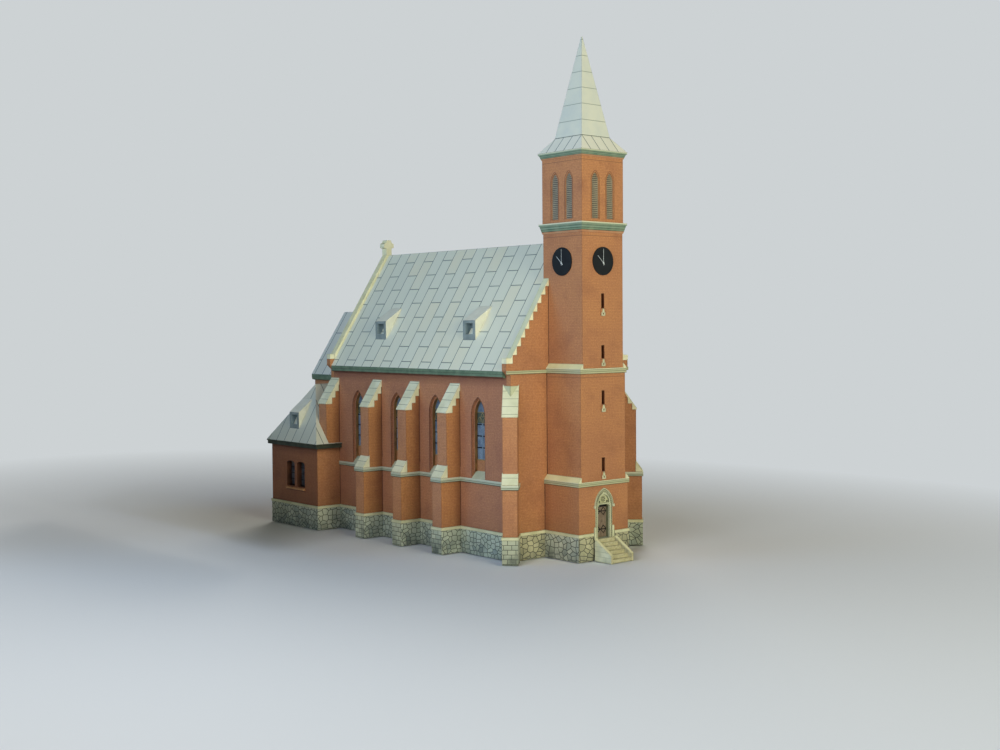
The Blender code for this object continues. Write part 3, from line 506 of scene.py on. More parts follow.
@dataclass(frozen=True)
class StepStone:
    """Printed step stone on matt card, yellowish, with a dark line per tread."""

    name: str = "printed_step_stone"
    light: str = "C6C09A"
    shade: str = "B9B289"
    worn: str = "98936D"

    def build(self) -> Material:
        """Return the step print."""
        card = CardPrint(self.name)
        base = card.drift(self.shade, self.light, 3.0, 4.0)
        patches = card.drift(base, self.worn, 9.0, 4.0, 0.52, 0.75)
        return card.coat(card.inked(patches, 0.12, "6A6848"), 0.62)


@dataclass(frozen=True)
class Ashlar:
    """Printed squared blocks on matt card, in low courses with dark joints."""

    name: str = "printed_ashlar_card"
    pale: str = "C9CAA8"
    grey: str = "ABAF94"
    mortar: str = "565645"
    soil: str = "434A40"
    width: float = 0.58
    course: float = 0.33

    def build(self) -> Material:
        """Return the block print."""
        card = CardPrint(self.name)
        inks = {"Color1": self.pale, "Color2": self.grey, "Mortar": self.mortar, "Scale": 1.0}
        sizes = {"Mortar Size": 0.022, "Brick Width": self.width, "Row Height": self.course}
        blocks, joints = card.add("TexBrick", {**inks, **sizes, "Vector": card.sheet(0.0, 0.22)}).outputs
        stained = card.soiled(blocks, self.soil, -0.6, -1.5, 0.05, 0.85)
        return card.coat(card.inked(stained, 0.35), 0.66, joints, 0.00008)


@dataclass(frozen=True)
class DressedStone:
    """Printed cream stone on matt card.

    Slopes are jointed across in slabs, and the sides stay plain, as copings and
    sills are. pitch is the slab's length up the slope and 0 leaves it unjointed.
    """

    name: str
    light: str = "E6E3C0"
    shade: str = "D2D0A8"
    joint: str = "8F8E6C"
    pitch: float = 0.0
    start: float = -0.28
    ink: float = 0.45

    def build(self) -> Material:
        """Return the stone print."""
        card = CardPrint(self.name)
        base = card.drift(self.shade, self.light, 1.1)
        if self.pitch:
            line = card.stripe(card.v, self.start, self.pitch, 0.034)
            tilt = card.add("SeparateXYZ", {0: card.normal}).outputs[2]
            slope = card.add("Math", {0: tilt, 1: 0.2}, operation="GREATER_THAN")
            shown = card.add("Math", {0: line, 1: slope}, operation="MULTIPLY")
            base = card.add("Mix", {0: shown, 6: base, 7: self.joint}, **COLOURS)
        return card.coat(card.inked(base, self.ink, "4A4A36"), 0.60)


@dataclass(frozen=True)
class RoofSheets:
    """Printed roof metal on matt card, pale grey-green with thin dark seams.

    Sheets run up the slope. width is their width along the eaves and length
    their length up the slope; each column starts half a sheet higher.
    """

    name: str
    cold: str = "E4E5CE"
    pale: str = "E8E9D1"
    warm: str = "EDE9CB"
    width: float = 1.2563
    length: float = 2.70
    shift_u: float = 0.0
    shift_v: float = 0.0
    seam: float = 0.038
    line: str = "767F72"
    ink: float = 0.35

    def build(self) -> Material:
        """Return the sheet print."""
        card = CardPrint(self.name)
        inputs = {
            **TONES,
            "Vector": card.sheet(self.shift_u, self.shift_v, turned=True),
            "Mortar Size": self.seam,
            "Mortar Smooth": 0.3,
            "Brick Width": self.length,
            "Row Height": self.width,
        }
        sheets, seams = card.add("TexBrick", inputs).outputs
        tones = card.add("ValToRGB", {0: sheets}, ((0.0, self.cold), (0.45, self.pale), (1.0, self.warm)))
        clouded = card.drift(tones, self.pale, 0.35, 3.0, 0.45, 0.85)
        seamed = card.add("Mix", {0: seams, 6: clouded, 7: self.line}, **COLOURS)
        return card.coat(card.inked(seamed, self.ink, "56635E"), 0.55)


@dataclass(frozen=True)
class SpireSheets:
    """Printed roof metal of the spire, with level seams 1.17 m apart and a dark foot."""

    name: str = "printed_spire_metal_card"
    first: float = 27.925
    pitch: float = 1.172
    seam: float = 0.042
    pale: str = "D8D9C5"
    cold: str = "CDD1C2"
    line: str = "89917F"
    foot: str = "55604F"

    def build(self) -> Material:
        """Return the spire's print."""
        card = CardPrint(self.name)
        line = card.stripe(card.z, self.first, self.pitch, self.seam)
        base = card.drift(self.cold, self.pale, 0.7)
        seamed = card.add("Mix", {0: line, 6: base, 7: self.line}, **COLOURS)
        low = card.add("Math", {0: card.z, 1: self.first + 0.09}, operation="LESS_THAN")
        footed = card.add("Mix", {0: low, 6: seamed, 7: self.foot}, **COLOURS)
        return card.coat(card.inked(footed, 0.6, "66726B"), 0.55)


@dataclass(frozen=True)
class Moulding:
    """Printed string course or cornice on matt card, in level stripes."""

    name: str
    low: float
    high: float
    stops: tuple[tuple[float, str], ...]

    def build(self) -> Material:
        """Return the striped print."""
        card = CardPrint(self.name)
        share = card.add("MapRange", {0: card.z, 1: self.low, 2: self.high})
        stripes = card.add("ValToRGB", {0: share}, self.stops, sharp=True)
        worn = card.add("Math", {0: card.cloud(1.4), 1: 0.2}, operation="MULTIPLY")
        mixed = card.add("Mix", {0: worn, 6: stripes, 7: "B9BA96"}, **COLOURS)
        return card.coat(card.inked(mixed, 0.30, "3C4030"), 0.58)


@dataclass(frozen=True)
class PlainCard:
    """A plain area of ink on card, with soft clouds between two tones."""

    name: str
    light: str
    shade: str
    rough: float = 0.6
    ink: float = 0.0

    def build(self) -> Material:
        """Return the print."""
        card = CardPrint(self.name)
        base = card.drift(self.shade, self.light, 1.5)
        if self.ink:
            base = card.inked(base, self.ink)
        return card.coat(base, self.rough)


@dataclass(frozen=True)
class LeadedGlass:
    """Printed leaded glass under a satin varnish.

    Blue panes in a diamond net of thin lead, 0.17 m apart, darker at the top.
    """

    name: str = "printed_leaded_glass"
    light: str = "90A1AC"
    deep: str = "677A8C"
    high: float = 9.3
    pane: float = 0.17
    dark: str = "1E2F45"
    lead: str = "34465C"

    def build(self) -> Material:
        """Return the glass print."""
        card = CardPrint(self.name)
        masks = []
        for operation in ("ADD", "SUBTRACT"):
            cross = card.add("Math", {0: card.u, 1: card.v}, operation=operation)
            masks.append(card.stripe(cross, 0.0, self.pane, 0.12 * self.pane))
        net = card.add("Math", {0: masks[0], 1: masks[1]}, operation="MAXIMUM")
        faint = card.add("Math", {0: net, 1: 0.55}, operation="MULTIPLY")
        panes = card.drift(self.deep, self.light, 2.5)
        top = card.add("MapRange", {0: card.z, 1: self.high - 1.4, 2: self.high, 3: 0.0, 4: 0.55})
        shaded = card.add("Mix", {0: top, 6: panes, 7: self.dark}, **COLOURS)
        leaded = card.add("Mix", {0: faint, 6: shaded, 7: self.lead}, **COLOURS)
        return card.coat(leaded, 0.28)


@dataclass(frozen=True)
class PlankTimber:
    """Printed oak planks, brown with fine upright grain."""

    name: str = "printed_plank_card"
    light: str = "A18F79"
    dark: str = "74604D"

    def build(self) -> Material:
        """Return the plank print."""
        card = CardPrint(self.name)
        stretch = card.add("Mapping", {0: card.point, 3: (30.0, 30.0, 2.0)})
        grain = card.add("TexNoise", {"Vector": stretch, "Scale": 1.0, "Detail": 4.0})
        share = card.add("MapRange", {0: grain, 1: 0.35, 2: 0.65})
        return card.coat(card.add("Mix", {0: share, 6: self.dark, 7: self.light}, **COLOURS), 0.5)


# Modelling steps


def take_up(*pieces: Piece) -> None:
    """Leave edit mode and select the given pieces only, with the last one active."""
    if bpy.context.object and bpy.context.object.mode != "OBJECT":
        bpy.ops.object.mode_set(mode="OBJECT")
    bpy.ops.object.select_all(action="DESELECT")
    for piece in pieces:
        piece.select_set(True)
        bpy.context.view_layer.objects.active = piece


@contextmanager
def editing(piece: Piece, chosen: Callable[[bpy.types.MeshVertex], bool] | None = None) -> Iterator[None]:
    """Open a piece in edit mode and leave it again.

    Args:
        piece: The piece that is edited.
        chosen: Tells the vertices that are selected, or None for all.

    Yields:
        Nothing, while the piece is open.
    """
    take_up(piece)
    bpy.ops.object.mode_set(mode="EDIT")
    bpy.ops.mesh.select_all(action="DESELECT" if chosen else "SELECT")
    if chosen:
        bpy.ops.object.mode_set(mode="OBJECT")
        for vert in piece.data.vertices:
            vert.select = chosen(vert)
        bpy.ops.object.mode_set(mode="EDIT")
    yield
    bpy.ops.object.mode_set(mode="OBJECT")


def named(name: str, material: Material | None = None, piece: Piece | None = None) -> Piece:
    """Name a piece and give it a material.

    Args:
        name: Its name, for the mesh too.
        material: Its finish, if it has one.
        piece: The piece, or None for the active one.

    Returns:
        The piece.
    """
    piece = piece or bpy.context.active_object
    piece.name = name
    piece.data.name = name
    if material:
        piece.data.materials.append(material)
    return piece


def settle(piece: Piece) -> Piece:
    """Apply a piece's place, turn and scale to its mesh.

    Args:
        piece: The piece.

    Returns:
        The piece.
    """
    take_up(piece)
    bpy.ops.object.transform_apply(location=True, rotation=True, scale=True)
    return piece


def modify(piece: Piece, kind: str, **settings) -> Piece:
    """Add a modifier with its settings and apply it.

    Args:
        piece: The piece that is modified.
        kind: The modifier's type name.
        settings: The modifier's own properties.

    Returns:
        The same piece.
    """
    take_up(piece)
    step = piece.modifiers.new(kind.lower(), kind)
    for name, value in settings.items():
        setattr(step, name, value)
    bpy.ops.object.modifier_apply(modifier=step.name)
    return piece


def block(name: str, low: Spot, high: Spot, material: Material, bevel: float = 0.008) -> Piece:
    """Model a block with eased edges.

    Args:
        name: The piece's name.
        low: One corner.
        high: The opposite corner.
        material: Its finish.
        bevel: How wide the edges are eased.

    Returns:
        The block.
    """
    take_up()
    middle = [(a + b) / 2.0 for a, b in zip(low, high)]
    bpy.ops.mesh.primitive_cube_add(size=1.0, location=middle)
    piece = named(name, material)
    piece.scale = [abs(b - a) for a, b in zip(low, high)]
    return modify(settle(piece), "BEVEL", width=bevel, segments=1, limit_method="ANGLE")


@dataclass(frozen=True)
class Circle:
    """A circle in front view: its centre, its radius and its facets."""

    x: float
    z: float
    radius: float
    facets: int

    def bead(self, name: str, thick: float, y: float, material: Material) -> Piece:
        """Model a round bead that follows the circle.

        Args:
            name: The piece's name.
            thick: The bead's thickness.
            y: The depth of its middle line.
            material: Its finish.

        Returns:
            The bead.
        """
        take_up()
        bpy.ops.mesh.primitive_torus_add(
            major_radius=self.radius,
            minor_radius=thick / 2.0,
            major_segments=self.facets,
            minor_segments=6,
            location=(self.x, y, self.z),
            rotation=UPRIGHT,
        )
        return settle(named(name, material))

    def boss(self, name: str, front: float, depth: float, material: Material) -> Piece:
        """Model a boss that fills the circle, with an eased rim.

        Args:
            name: The piece's name.
            front: The y of its front face.
            depth: Its depth, towards +Y.
            material: Its finish.

        Returns:
            The boss.
        """
        take_up()
        bpy.ops.mesh.primitive_cylinder_add(
            vertices=self.facets,
            radius=self.radius,
            depth=depth,
            location=(self.x, front + depth / 2.0, self.z),
            rotation=UPRIGHT,
        )
        piece = settle(named(name, material))
        return modify(piece, "BEVEL", width=depth * 0.3, segments=1, limit_method="ANGLE")


def pull_back(piece: Piece, depth: float) -> Piece:
    """Extrude everything in a piece towards +Y by a depth."""
    with editing(piece):
        bpy.ops.mesh.extrude_region_move(TRANSFORM_OT_translate={"value": (0.0, depth, 0.0)})
        bpy.ops.mesh.select_all(action="SELECT")
        bpy.ops.mesh.normals_make_consistent(inside=False)
    return piece


def draw_foot(piece: Piece, way: Spot) -> None:
    """Draw a line's lowest end on.

    Args:
        piece: The line.
        way: How far its end is drawn.
    """
    lowest = min(piece.data.vertices, key=lambda vert: vert.co.z).index
    with editing(piece, lambda vert: vert.index == lowest):
        bpy.ops.mesh.extrude_region_move(TRANSFORM_OT_translate={"value": way})


@dataclass(frozen=True)
class Arch:
    """A pointed arch in front view: half its width and its heights."""

    half: float
    foot: float
    spring: float
    apex: float

    def line(self, name: str, y: float) -> Piece:
        """Draw the right half as a line of edges, from the foot to the point.

        Args:
            name: The piece's name.
            y: The depth at which it is drawn.

        Returns:
            A piece with edges only.
        """
        rise = self.apex - self.spring
        reach = (rise * rise - self.half * self.half) / (2.0 * self.half)
        take_up()
        bpy.ops.mesh.primitive_circle_add(
            vertices=72, radius=self.half + reach, location=(-reach, y, self.spring), rotation=UPRIGHT
        )
        piece = settle(named(name))
        cuts = (((0.0, y, 0.0), (1.0, 0.0, 0.0)), ((0.0, y, self.spring), (0.0, 0.0, 1.0)))
        for spot, way in cuts:
            with editing(piece):
                bpy.ops.mesh.bisect(plane_co=spot, plane_no=way, clear_inner=True)
        if self.spring - self.foot > 1.0e-6:
            draw_foot(piece, (0.0, 0.0, self.foot - self.spring))
        return piece

    def band(
        self, name: str, width: float, front: float, depth: float, material: Material, bevel: float = 0.0
    ) -> Piece:
        """Model a band that follows the arch, outside its opening.

        Args:
            name: The piece's name.
            width: The band's width, outwards.
            front: The y of its front face.
            depth: Its depth, towards +Y.
            material: Its finish.
            bevel: How wide its edges are eased, or 0.

        Returns:
            The band.
        """
        piece = pull_back(self.line(name, front), depth)
        outer = Vector((self.half + 100.0, 0.0, self.spring))
        face = max(piece.data.polygons, key=lambda poly: (poly.center.x, -abs(poly.center.z - self.spring)))
        outwards = face.normal.dot(outer - face.center) > 0.0
        modify(piece, "SOLIDIFY", thickness=width, offset=1.0 if outwards else -1.0, use_even_offset=True)
        with editing(piece):
            bpy.ops.mesh.bisect(plane_co=(0.0, 0.0, 0.0), plane_no=(1.0, 0.0, 0.0), clear_inner=True)
        modify(piece, "MIRROR", use_axis=(True, False, False), merge_threshold=0.002)
        with editing(piece):
            bpy.ops.mesh.normals_make_consistent(inside=False)
        if bevel:
            corner = math.radians(50.0)
            modify(piece, "BEVEL", width=bevel, segments=1, limit_method="ANGLE", angle_limit=corner)
        return named(name, material, piece)

    def panel(self, name: str, front: float, depth: float, material: Material) -> Piece:
        """Model a solid panel with a pointed head.

        Args:
            name: The piece's name.
            front: The y of its front face.
            depth: Its depth, towards +Y.
            material: Its finish.

        Returns:
            The panel.
        """
        piece = self.line(name, front)
        draw_foot(piece, (-self.half, 0.0, 0.0))
        modify(piece, "MIRROR", use_axis=(True, False, False), merge_threshold=0.002)
        with editing(piece):
            bpy.ops.mesh.edge_face_add()
        return named(name, material, pull_back(piece, depth))


def unite(name: str, pieces: Sequence[Piece]) -> Piece:
    """Join pieces into one object.

    Args:
        name: The object's name.
        pieces: The pieces.

    Returns:
        The object.
    """
    take_up(*pieces)
    bpy.ops.object.join()
    return named(name)


def hang(pattern: Piece, name: str, matrix: Matrix) -> Piece:
    """Copy a pattern to its place on the model, with a mesh of its own.

    Args:
        pattern: The piece drawn in front view.
        name: The copy's name.
        matrix: Its place in the drawing.

    Returns:
        The copy, riding on the model.
    """
    piece = pattern.copy()
    piece.data = pattern.data.copy()
    named(name, None, piece)
    bpy.context.scene.collection.objects.link(piece)
    piece.matrix_world = DRAWING.matrix @ matrix
    settle(piece)
    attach(piece, BODY)
    LOG.info("%s: %d faces", name, len(piece.data.polygons))
    return piece


def discard(*patterns: Piece) -> None:
    """Delete patterns once their copies hang."""
    for pattern in patterns:
        bpy.data.objects.remove(pattern, do_unlink=True)


def from_corner(centre: Vector) -> tuple[float, float]:
    """Measure from the nave's front corner along its diagonal.

    Args:
        centre: A point in the drawing.

    Returns:
        How far out and how far across the diagonal it lies.
    """
    side = abs(centre.x) - NAVE_CORNER[0]
    front = NAVE_CORNER[1] - centre.y
    return (side + front) * math.sqrt(0.5), (side - front) * math.sqrt(0.5)


# Sub-assemblies


class Palette:
    """The finishes that several sub-assemblies share."""

    def __init__(self) -> None:
        """Build each shared finish once."""
        self.brick = Brickwork().build()
        # The nave's walls, with painted shade under the eaves.
        rosy = ("C78B61", "B87F5E", "A26B53")
        self.nave = Brickwork("printed_nave_brick_card", *rosy, shade=(10.2, 11.3)).build()
        # A bluer, lighter copy of the brick for the buttresses' sides: painted light.
        self.flank = Brickwork("printed_flank_brick_card", "D09465", "C28962", "AB7356").build()
        # A warmer copy of the brick for the buttresses' fronts and rears, as painted light, with painted
        # shade beside the wall.
        amber = ("CE9056", "C08453", "A96F48")
        self.folded = Brickwork("printed_folded_brick_card", *amber, fold=(5.65, 6.35)).build()
        # The annexes' brick, with painted shade under the eaves.
        self.annex = Brickwork("printed_annex_brick_card", shade=(4.2, 5.0)).build()
        # A darker copy of the annexes' brick for their side faces: painted shade, with painted shade under
        # the eaves.
        murky = ("A66B45", "9A6243", "87533C")
        self.annex_flank = Brickwork("printed_annex_flank_card", *murky, shade=(4.0, 5.0)).build()
        self.rubble = Rubble().build()
        self.ashlar = Ashlar().build()
        self.band = DressedStone("printed_band_stone", "D9D6AE", "C6C499").build()
        self.stone = DressedStone("printed_coping_stone").build()
        self.slabs = DressedStone("printed_coping_slabs", "E2E2C0", "D1D2AD", pitch=0.635).build()
        # A brighter copy of the slabs for the side buttresses: painted light.
        self.side_slabs = DressedStone("printed_side_slabs", "F0EECB", "E0DEB9", pitch=0.635).build()
        # The tower's brick, with thin lines of painted shade under its cornices and upper string.
        self.tower = Brickwork("printed_tower_brick_card", rules=(26.2, 20.93, 11.0)).build()
        self.fascia = PlainCard("printed_dark_green_fascia", "72866A", "5C7258", ink=0.5).build()
        self.soffit = PlainCard("printed_soffit", "6B4535", "57382C").build()
        # Black, also used for the painted shadow under the door's head.
        self.dark = PlainCard("printed_black", "1C1A1A", "121112", 0.5).build()
        # Dark lines of painted shade where parts meet a wall, and in the slit sills' notch.
        self.glue = PlainCard("glue_line", "54321F", "452818").build()
        self.iron = PlainCard("printed_black_ironwork", "1B1B1D", "0F0F11", 0.45).build()


@dataclass
class Assembly:
    """A part of the church, with the shared finishes and the CAD nodes."""

    palette: Palette
    nodes: dict[str, Piece]

    def dress(self, name: str, base: Material, *rules: tuple[Material, Test]) -> None:
        """Give a CAD node its finish, and some of its faces another.

        Args:
            name: The node's name.
            base: The finish of every face that no rule takes.
            rules: Finishes with tests on a face's centre, in the drawing, and normal.
        """
        mesh = self.nodes[name].data
        mesh.materials.clear()
        for material in (base, *(material for material, _ in rules)):
            mesh.materials.append(material)
        for face in mesh.polygons:
            centre = DRAWING.read(face.center)
            taken = (index for index, rule in enumerate(rules, start=1) if rule[1](centre, face.normal))
            face.material_index = next(taken, 0)
        LOG.info("%s: dressed in %s", name, base.name)


@dataclass
class Plinth(Assembly):
    """Rubble plinth and its dressed band."""

    buttress_face: float = 7.30
    diagonal_face: float = 1.25
    feet_end: float = 19.0
    tower_half: float = 3.0
    annex_start: float = 23.0
    front_end: float = 1.6

    def is_foot(self, centre: Vector, normal: Vector) -> bool:
        """Tell the end faces of the buttress feet, which are squared blocks.

        Args:
            centre: The face's centre.
            normal: The face's normal.

        Returns:
            True for such a face.
        """
        if abs(normal.z) > 0.5:
            return False
        if abs(normal.x) > 0.9:
            return abs(centre.x) > self.buttress_face and centre.y < self.feet_end
        diagonal = abs(normal.x) > 0.5 and normal.y < 0.0
        return diagonal and from_corner(centre)[0] > self.diagonal_face

    def is_pale(self, centre: Vector, normal: Vector) -> bool:
        """Tell the tower's sides and the annexes, which take a paler copy of the rubble as painted light."""
        before_nave = centre.y < NAVE_CORNER[1] and abs(centre.x) < self.tower_half
        return (before_nave and abs(normal.x) > 0.9) or centre.y > self.annex_start

    def build(self) -> None:
        """Dress the plinth, with a darker, warmer copy of the rubble on the front as painted shade."""
        pale = Rubble("printed_pale_rubble_card", 2.15, "CFD2B8", "BCBFA5", "A6AE9E").build()
        warm = Rubble("printed_warm_rubble_card", 2.15, "C3BF9A", "AFAB88", "98977E").build()
        front = (warm, lambda centre, normal: normal.y < -0.9 and centre.y < self.front_end)
        feet = (self.palette.ashlar, self.is_foot)
        self.dress("plinth", self.palette.rubble, feet, (pale, self.is_pale), front)
        self.dress("plinth_band", self.palette.band)


class NaveWalls(Assembly):
    """Brick walls, gables, copings and string courses of the nave."""

    def build(self) -> None:
        """Dress the walls, copings and string courses."""
        self.dress("gable_wall_front", self.palette.brick)
        self.dress("gable_wall_rear", self.palette.brick)
        # The coping stone in a tone for each way its faces look, brightest on the rear gable's top: painted
        # light.
        face = DressedStone("printed_coping_face", "EFEBC6", "E0DDB4").build()
        top = DressedStone("printed_coping_top", "E3E3BC", "D6D8AE").build()
        bright = DressedStone("printed_rear_coping_top", "F3EDBE", "E6DFAE").build()
        for tag, stone in (("front_left", top), ("front_right", top), ("rear", bright)):
            upper = (stone, lambda centre, normal: abs(normal.y) < 0.5 and normal.z > 0.2)
            self.dress(f"gable_coping_{tag}", face, upper)
        stripes = ((0.0, "474D3B"), (0.14, "AAB096"), (0.40, "636B56"), (0.52, "BEC3A8"), (0.84, "DADCC2"))
        string = Moulding("printed_nave_string", 3.28, 3.60, stripes).build()
        stone = DressedStone("printed_window_sill", "C9C9A6", "B7B894").build()
        sill = (stone, lambda centre, normal: centre.z > 3.55 and abs(normal.z) < 0.97)
        for side in Side:
            self.dress(f"nave_wall_{side.tag}", self.palette.nave)
            self.dress(f"string_course_{side.tag}", string, sill)


@dataclass
class NaveWindows(Assembly):
    """Leaded lights, tracery and brick aprons in the nave's pointed openings."""

    centres: tuple[float, ...] = (5.10, 10.15, 15.12, 20.43)
    half: float = 0.75
    foot: float = 4.96
    apron_foot: float = 4.12
    spring: float = 8.20
    apex: float = 9.50
    sheet: float = 5.196
    bars: tuple[float, ...] = (5.84, 6.68, 7.52)
    order: float = 0.12
    order_front: float = -0.254

    def tracery(self) -> Piece:
        """Model the lights' frame, mullion, bars and interlaced heads."""
        gold = PlainCard("printed_gold_tracery", "A8966A", "8C7B4C", 0.45).build()
        pale = PlainCard("printed_pale_mullion", "8496A0", "748892", 0.5).build()
        dusk = PlainCard("printed_tracery_ground", "56604F", "454F44", 0.5).build()
        half = self.half - self.order
        low = self.foot
        pieces = [
            Arch(half - 0.03, low, self.spring, 9.32).band("border", 0.03, -0.03, 0.03, gold),
            block("sill_line", (-half, -0.05, low - 0.03), (half, 0.0, low + 0.035), gold),
            block("mullion", (-0.04, -0.045, low), (0.04, 0.0, 7.62), pale),
            block("ground", (-half + 0.01, -0.012, 7.60), (half - 0.01, 0.0, 8.42), dusk),
        ]
        for height in self.bars:
            for sign in (-1.0, 1.0):
                near = (sign * 0.10, -0.06, height - 0.04)
                far = (sign * (half - 0.04), -0.01, height + 0.04)
                pieces.append(block("bar", near, far, self.palette.iron))
        for sign in (-1.0, 1.0):
            head = Arch(0.245, 7.60, 7.62, 8.05).band("head", 0.03, -0.03, 0.03, gold)
            head.location.x = sign * 0.31
            pieces.append(settle(head))
        pieces.append(Arch(0.27, 7.72, 7.74, 8.34).band("cross", 0.03, -0.032, 0.03, gold))
        pieces.append(Circle(0.0, 8.20, 0.13, 18).bead("eye", 0.035, -0.02, gold))
        pieces.append(block("head_line", (-half + 0.02, -0.03, 8.39), (half - 0.02, 0.0, 8.43), gold))
        return unite("tracery", pieces)

    def ring_of_bricks(self, inset: float, width: float, material: Material) -> Piece:
        """Model the second step of the brick reveal, or the lining set inside it.

        Args:
            inset: How far the lining stands inside the step, or 0 for the step.
            width: The band's width.
            material: Its finish.

        Returns:
            The band, which follows the pointed light.
        """
        rise = self.apex - self.spring
        reach = (rise * rise - self.half * self.half) / (2.0 * self.half)
        inner = self.half - self.order - inset
        apex = self.spring + math.sqrt((inner + reach) ** 2 - reach**2)
        front = self.order_front + 0.5 * inset
        arch = Arch(inner, self.apron_foot, self.spring, apex)
        return arch.band("order", width, front, -front - 0.006, material)

    def build(self) -> None:
        """Dress the glass and hang the tracery, aprons and brick orders."""
        glass = LeadedGlass().build()
        tracery = self.tracery()
        half = self.half - self.order
        low, high = (-half, -0.05, self.apron_foot), (half, 0.0, self.foot - 0.03)
        apron = block("apron", low, high, self.palette.brick)
        golden = PlainCard("printed_window_lining", "9A7340", "7A5832", ink=0.3).build()
        step = self.ring_of_bricks(0.0, self.order - 0.004, self.palette.nave)
        order = unite("order", (step, self.ring_of_bricks(0.03, 0.032, golden)))
        outline = PlainCard("printed_brick_outline", "6E4632", "5F3A2A", 0.6).build()
        arch = Arch(self.half + 0.004, 3.75, self.spring, self.apex + 0.006)
        trim = arch.band("trim", 0.035, -0.006, 0.02, outline)
        patterns = (
            (tracery, self.sheet, "glazing"),
            (apron, self.sheet, "brick"),
            (order, self.sheet, "brick"),
            (trim, NAVE_CORNER[0], "brick"),
        )
        for side in Side:
            self.dress(f"nave_windows_{side.tag}", glass)
            for number, centre in enumerate(self.centres, start=1):
                for pattern, out, slot in patterns:
                    place = side.wall.at(side.value * centre, out)
                    hang(pattern, f"window_{pattern.name}_{side.tag}_{number}", place)
        discard(tracery, apron, order, trim)


@dataclass
class Buttresses(Assembly):
    """Side and corner buttresses with their stone heads and caps."""

    starts: tuple[float, ...] = (7.19, 12.15, 17.12, 23.17)
    width: float = 1.08
    faces: tuple[float, ...] = (5.654, 6.93, 7.45)
    corner_half: float = 0.52
    corner_faces: tuple[float, ...] = (0.90, 1.33)
    notch: tuple[float, float] = (9.72, 10.44)

    def facet(self, name: str, sign: float, material: Material) -> Piece:
        """Model one triangle that closes the notch over a corner buttress.

        Args:
            name: The piece's name.
            sign: 1 when its point lies to the right of the corner, -1 when left.
            material: Its finish.

        Returns:
            The triangle, with its upright edge at x = 0.
        """
        low, high = self.notch
        reach = self.corner_half * math.sqrt(2.0)
        piece = block(name, (0.0, -0.03, low), (sign * reach, 0.01, high), material, 0.004)
        across = (sign * (high - low), 0.0, -reach)
        with editing(piece):
            bpy.ops.mesh.bisect(plane_co=(0.0, 0.0, low), plane_no=across, clear_outer=True, use_fill=True)
        return piece

    def glue_line(self, low: float, high: float, gap: float) -> Piece:
        """Model the pair of thin dark lines of painted shade where a part meets a wall.

        Args:
            low: The height of their feet.
            high: The height of their heads.
            gap: The distance between them.

        Returns:
            The pair.
        """
        strips = []
        for sign in (-1.0, 1.0):
            near, far = sign * gap / 2.0, sign * (gap / 2.0 + 0.035)
            strips.append(block("glue", (near, -0.02, low), (far, 0.01, high), self.palette.glue, 0.004))
        return unite("glue", strips)

    def close_corners(self) -> None:
        """Hang the triangles and the lines of painted shade."""
        # The flank triangle is a cooler, darker copy of the front one: painted shade.
        cold = DressedStone("printed_facet_side", "CDCFA6", "BCBE94").build()
        warm = DressedStone("printed_facet_front", "CFD3B0", "BEC29E").build()
        wall_x, wall_y = NAVE_CORNER
        for side in Side:
            front = self.facet("facet_front", -side.value, warm)
            flank = self.facet("facet_flank", side.value, cold)
            hang(front, f"facet_front_{side.tag}", Wall.FRONT.at(side.value * wall_x, -wall_y))
            hang(flank, f"facet_flank_{side.tag}", side.wall.at(side.value * wall_y, wall_x))
            discard(front, flank)
            for tag, low, high in (("upper", 4.35, 9.9), ("lower", 0.02, 3.28)):
                line = self.glue_line(low, high, self.width)
                for number, start in enumerate(self.starts, start=1):
                    place = side.wall.at(side.value * (start + self.width / 2.0), wall_x)
                    hang(line, f"glue_{tag}_{side.tag}_{number}", place)
                discard(line)
        stages = (("low", 0.02, 3.3, 2.454), ("middle", 4.0, 11.2, 2.204), ("clock", 11.95, 17.6, 2.0))
        for tag, low, high, half in stages:
            line = self.glue_line(low, high, 2.0 * half)
            hang(line, f"glue_tower_{tag}", Wall.FRONT.at(0.0, -wall_y))
            discard(line)

    def is_stone(self, start: float, centre: Vector, normal: Vector) -> bool:
        """Tell a side buttress's coping and cap from its brick shaft.

        Args:
            start: Where the buttress starts along the nave.
            centre: The face's centre.
            normal: The face's normal.

        Returns:
            True for a stone face.
        """
        if abs(normal.y) > 0.9:
            return min(abs(centre.y - plane) for plane in (start, start + self.width)) > 0.02
        if abs(normal.x) > 0.9:
            return min(abs(abs(centre.x) - face) for face in self.faces) > 0.02
        return True

    def is_corner_stone(self, centre: Vector, normal: Vector) -> bool:
        """Tell the stone faces of a corner buttress.

        Args:
            centre: The face's centre.
            normal: The face's normal.

        Returns:
            True for a stone face.
        """
        if abs(normal.z) > 0.1:
            return True
        along, across = from_corner(centre)
        if abs(abs(across) - self.corner_half) < 0.02:
            return False
        return min(abs(along - face) for face in self.corner_faces) > 0.02 and along > 0.0

    def build(self) -> None:
        """Dress every buttress and close its corners."""
        palette = self.palette
        self.close_corners()
        # Buttress sides take the lighter copy, fronts the warmer one with painted shade beside the wall.
        front = (palette.folded, lambda centre, normal: abs(normal.y) > 0.9)
        slope = (palette.slabs, lambda centre, normal: normal.z > 0.2)
        for side in Side:
            for number, start in enumerate(self.starts, start=1):
                stone = partial(self.is_stone, start)
                head = (
                    palette.side_slabs,
                    lambda centre, normal, stone=stone: normal.z > 0.2 and stone(centre, normal),
                )
                name = f"buttress_{side.tag}_{number}"
                self.dress(name, palette.flank, head, (palette.stone, stone), front)
            corner = (palette.stone, self.is_corner_stone)
            self.dress(f"corner_buttress_{side.tag}", palette.brick, slope, corner)


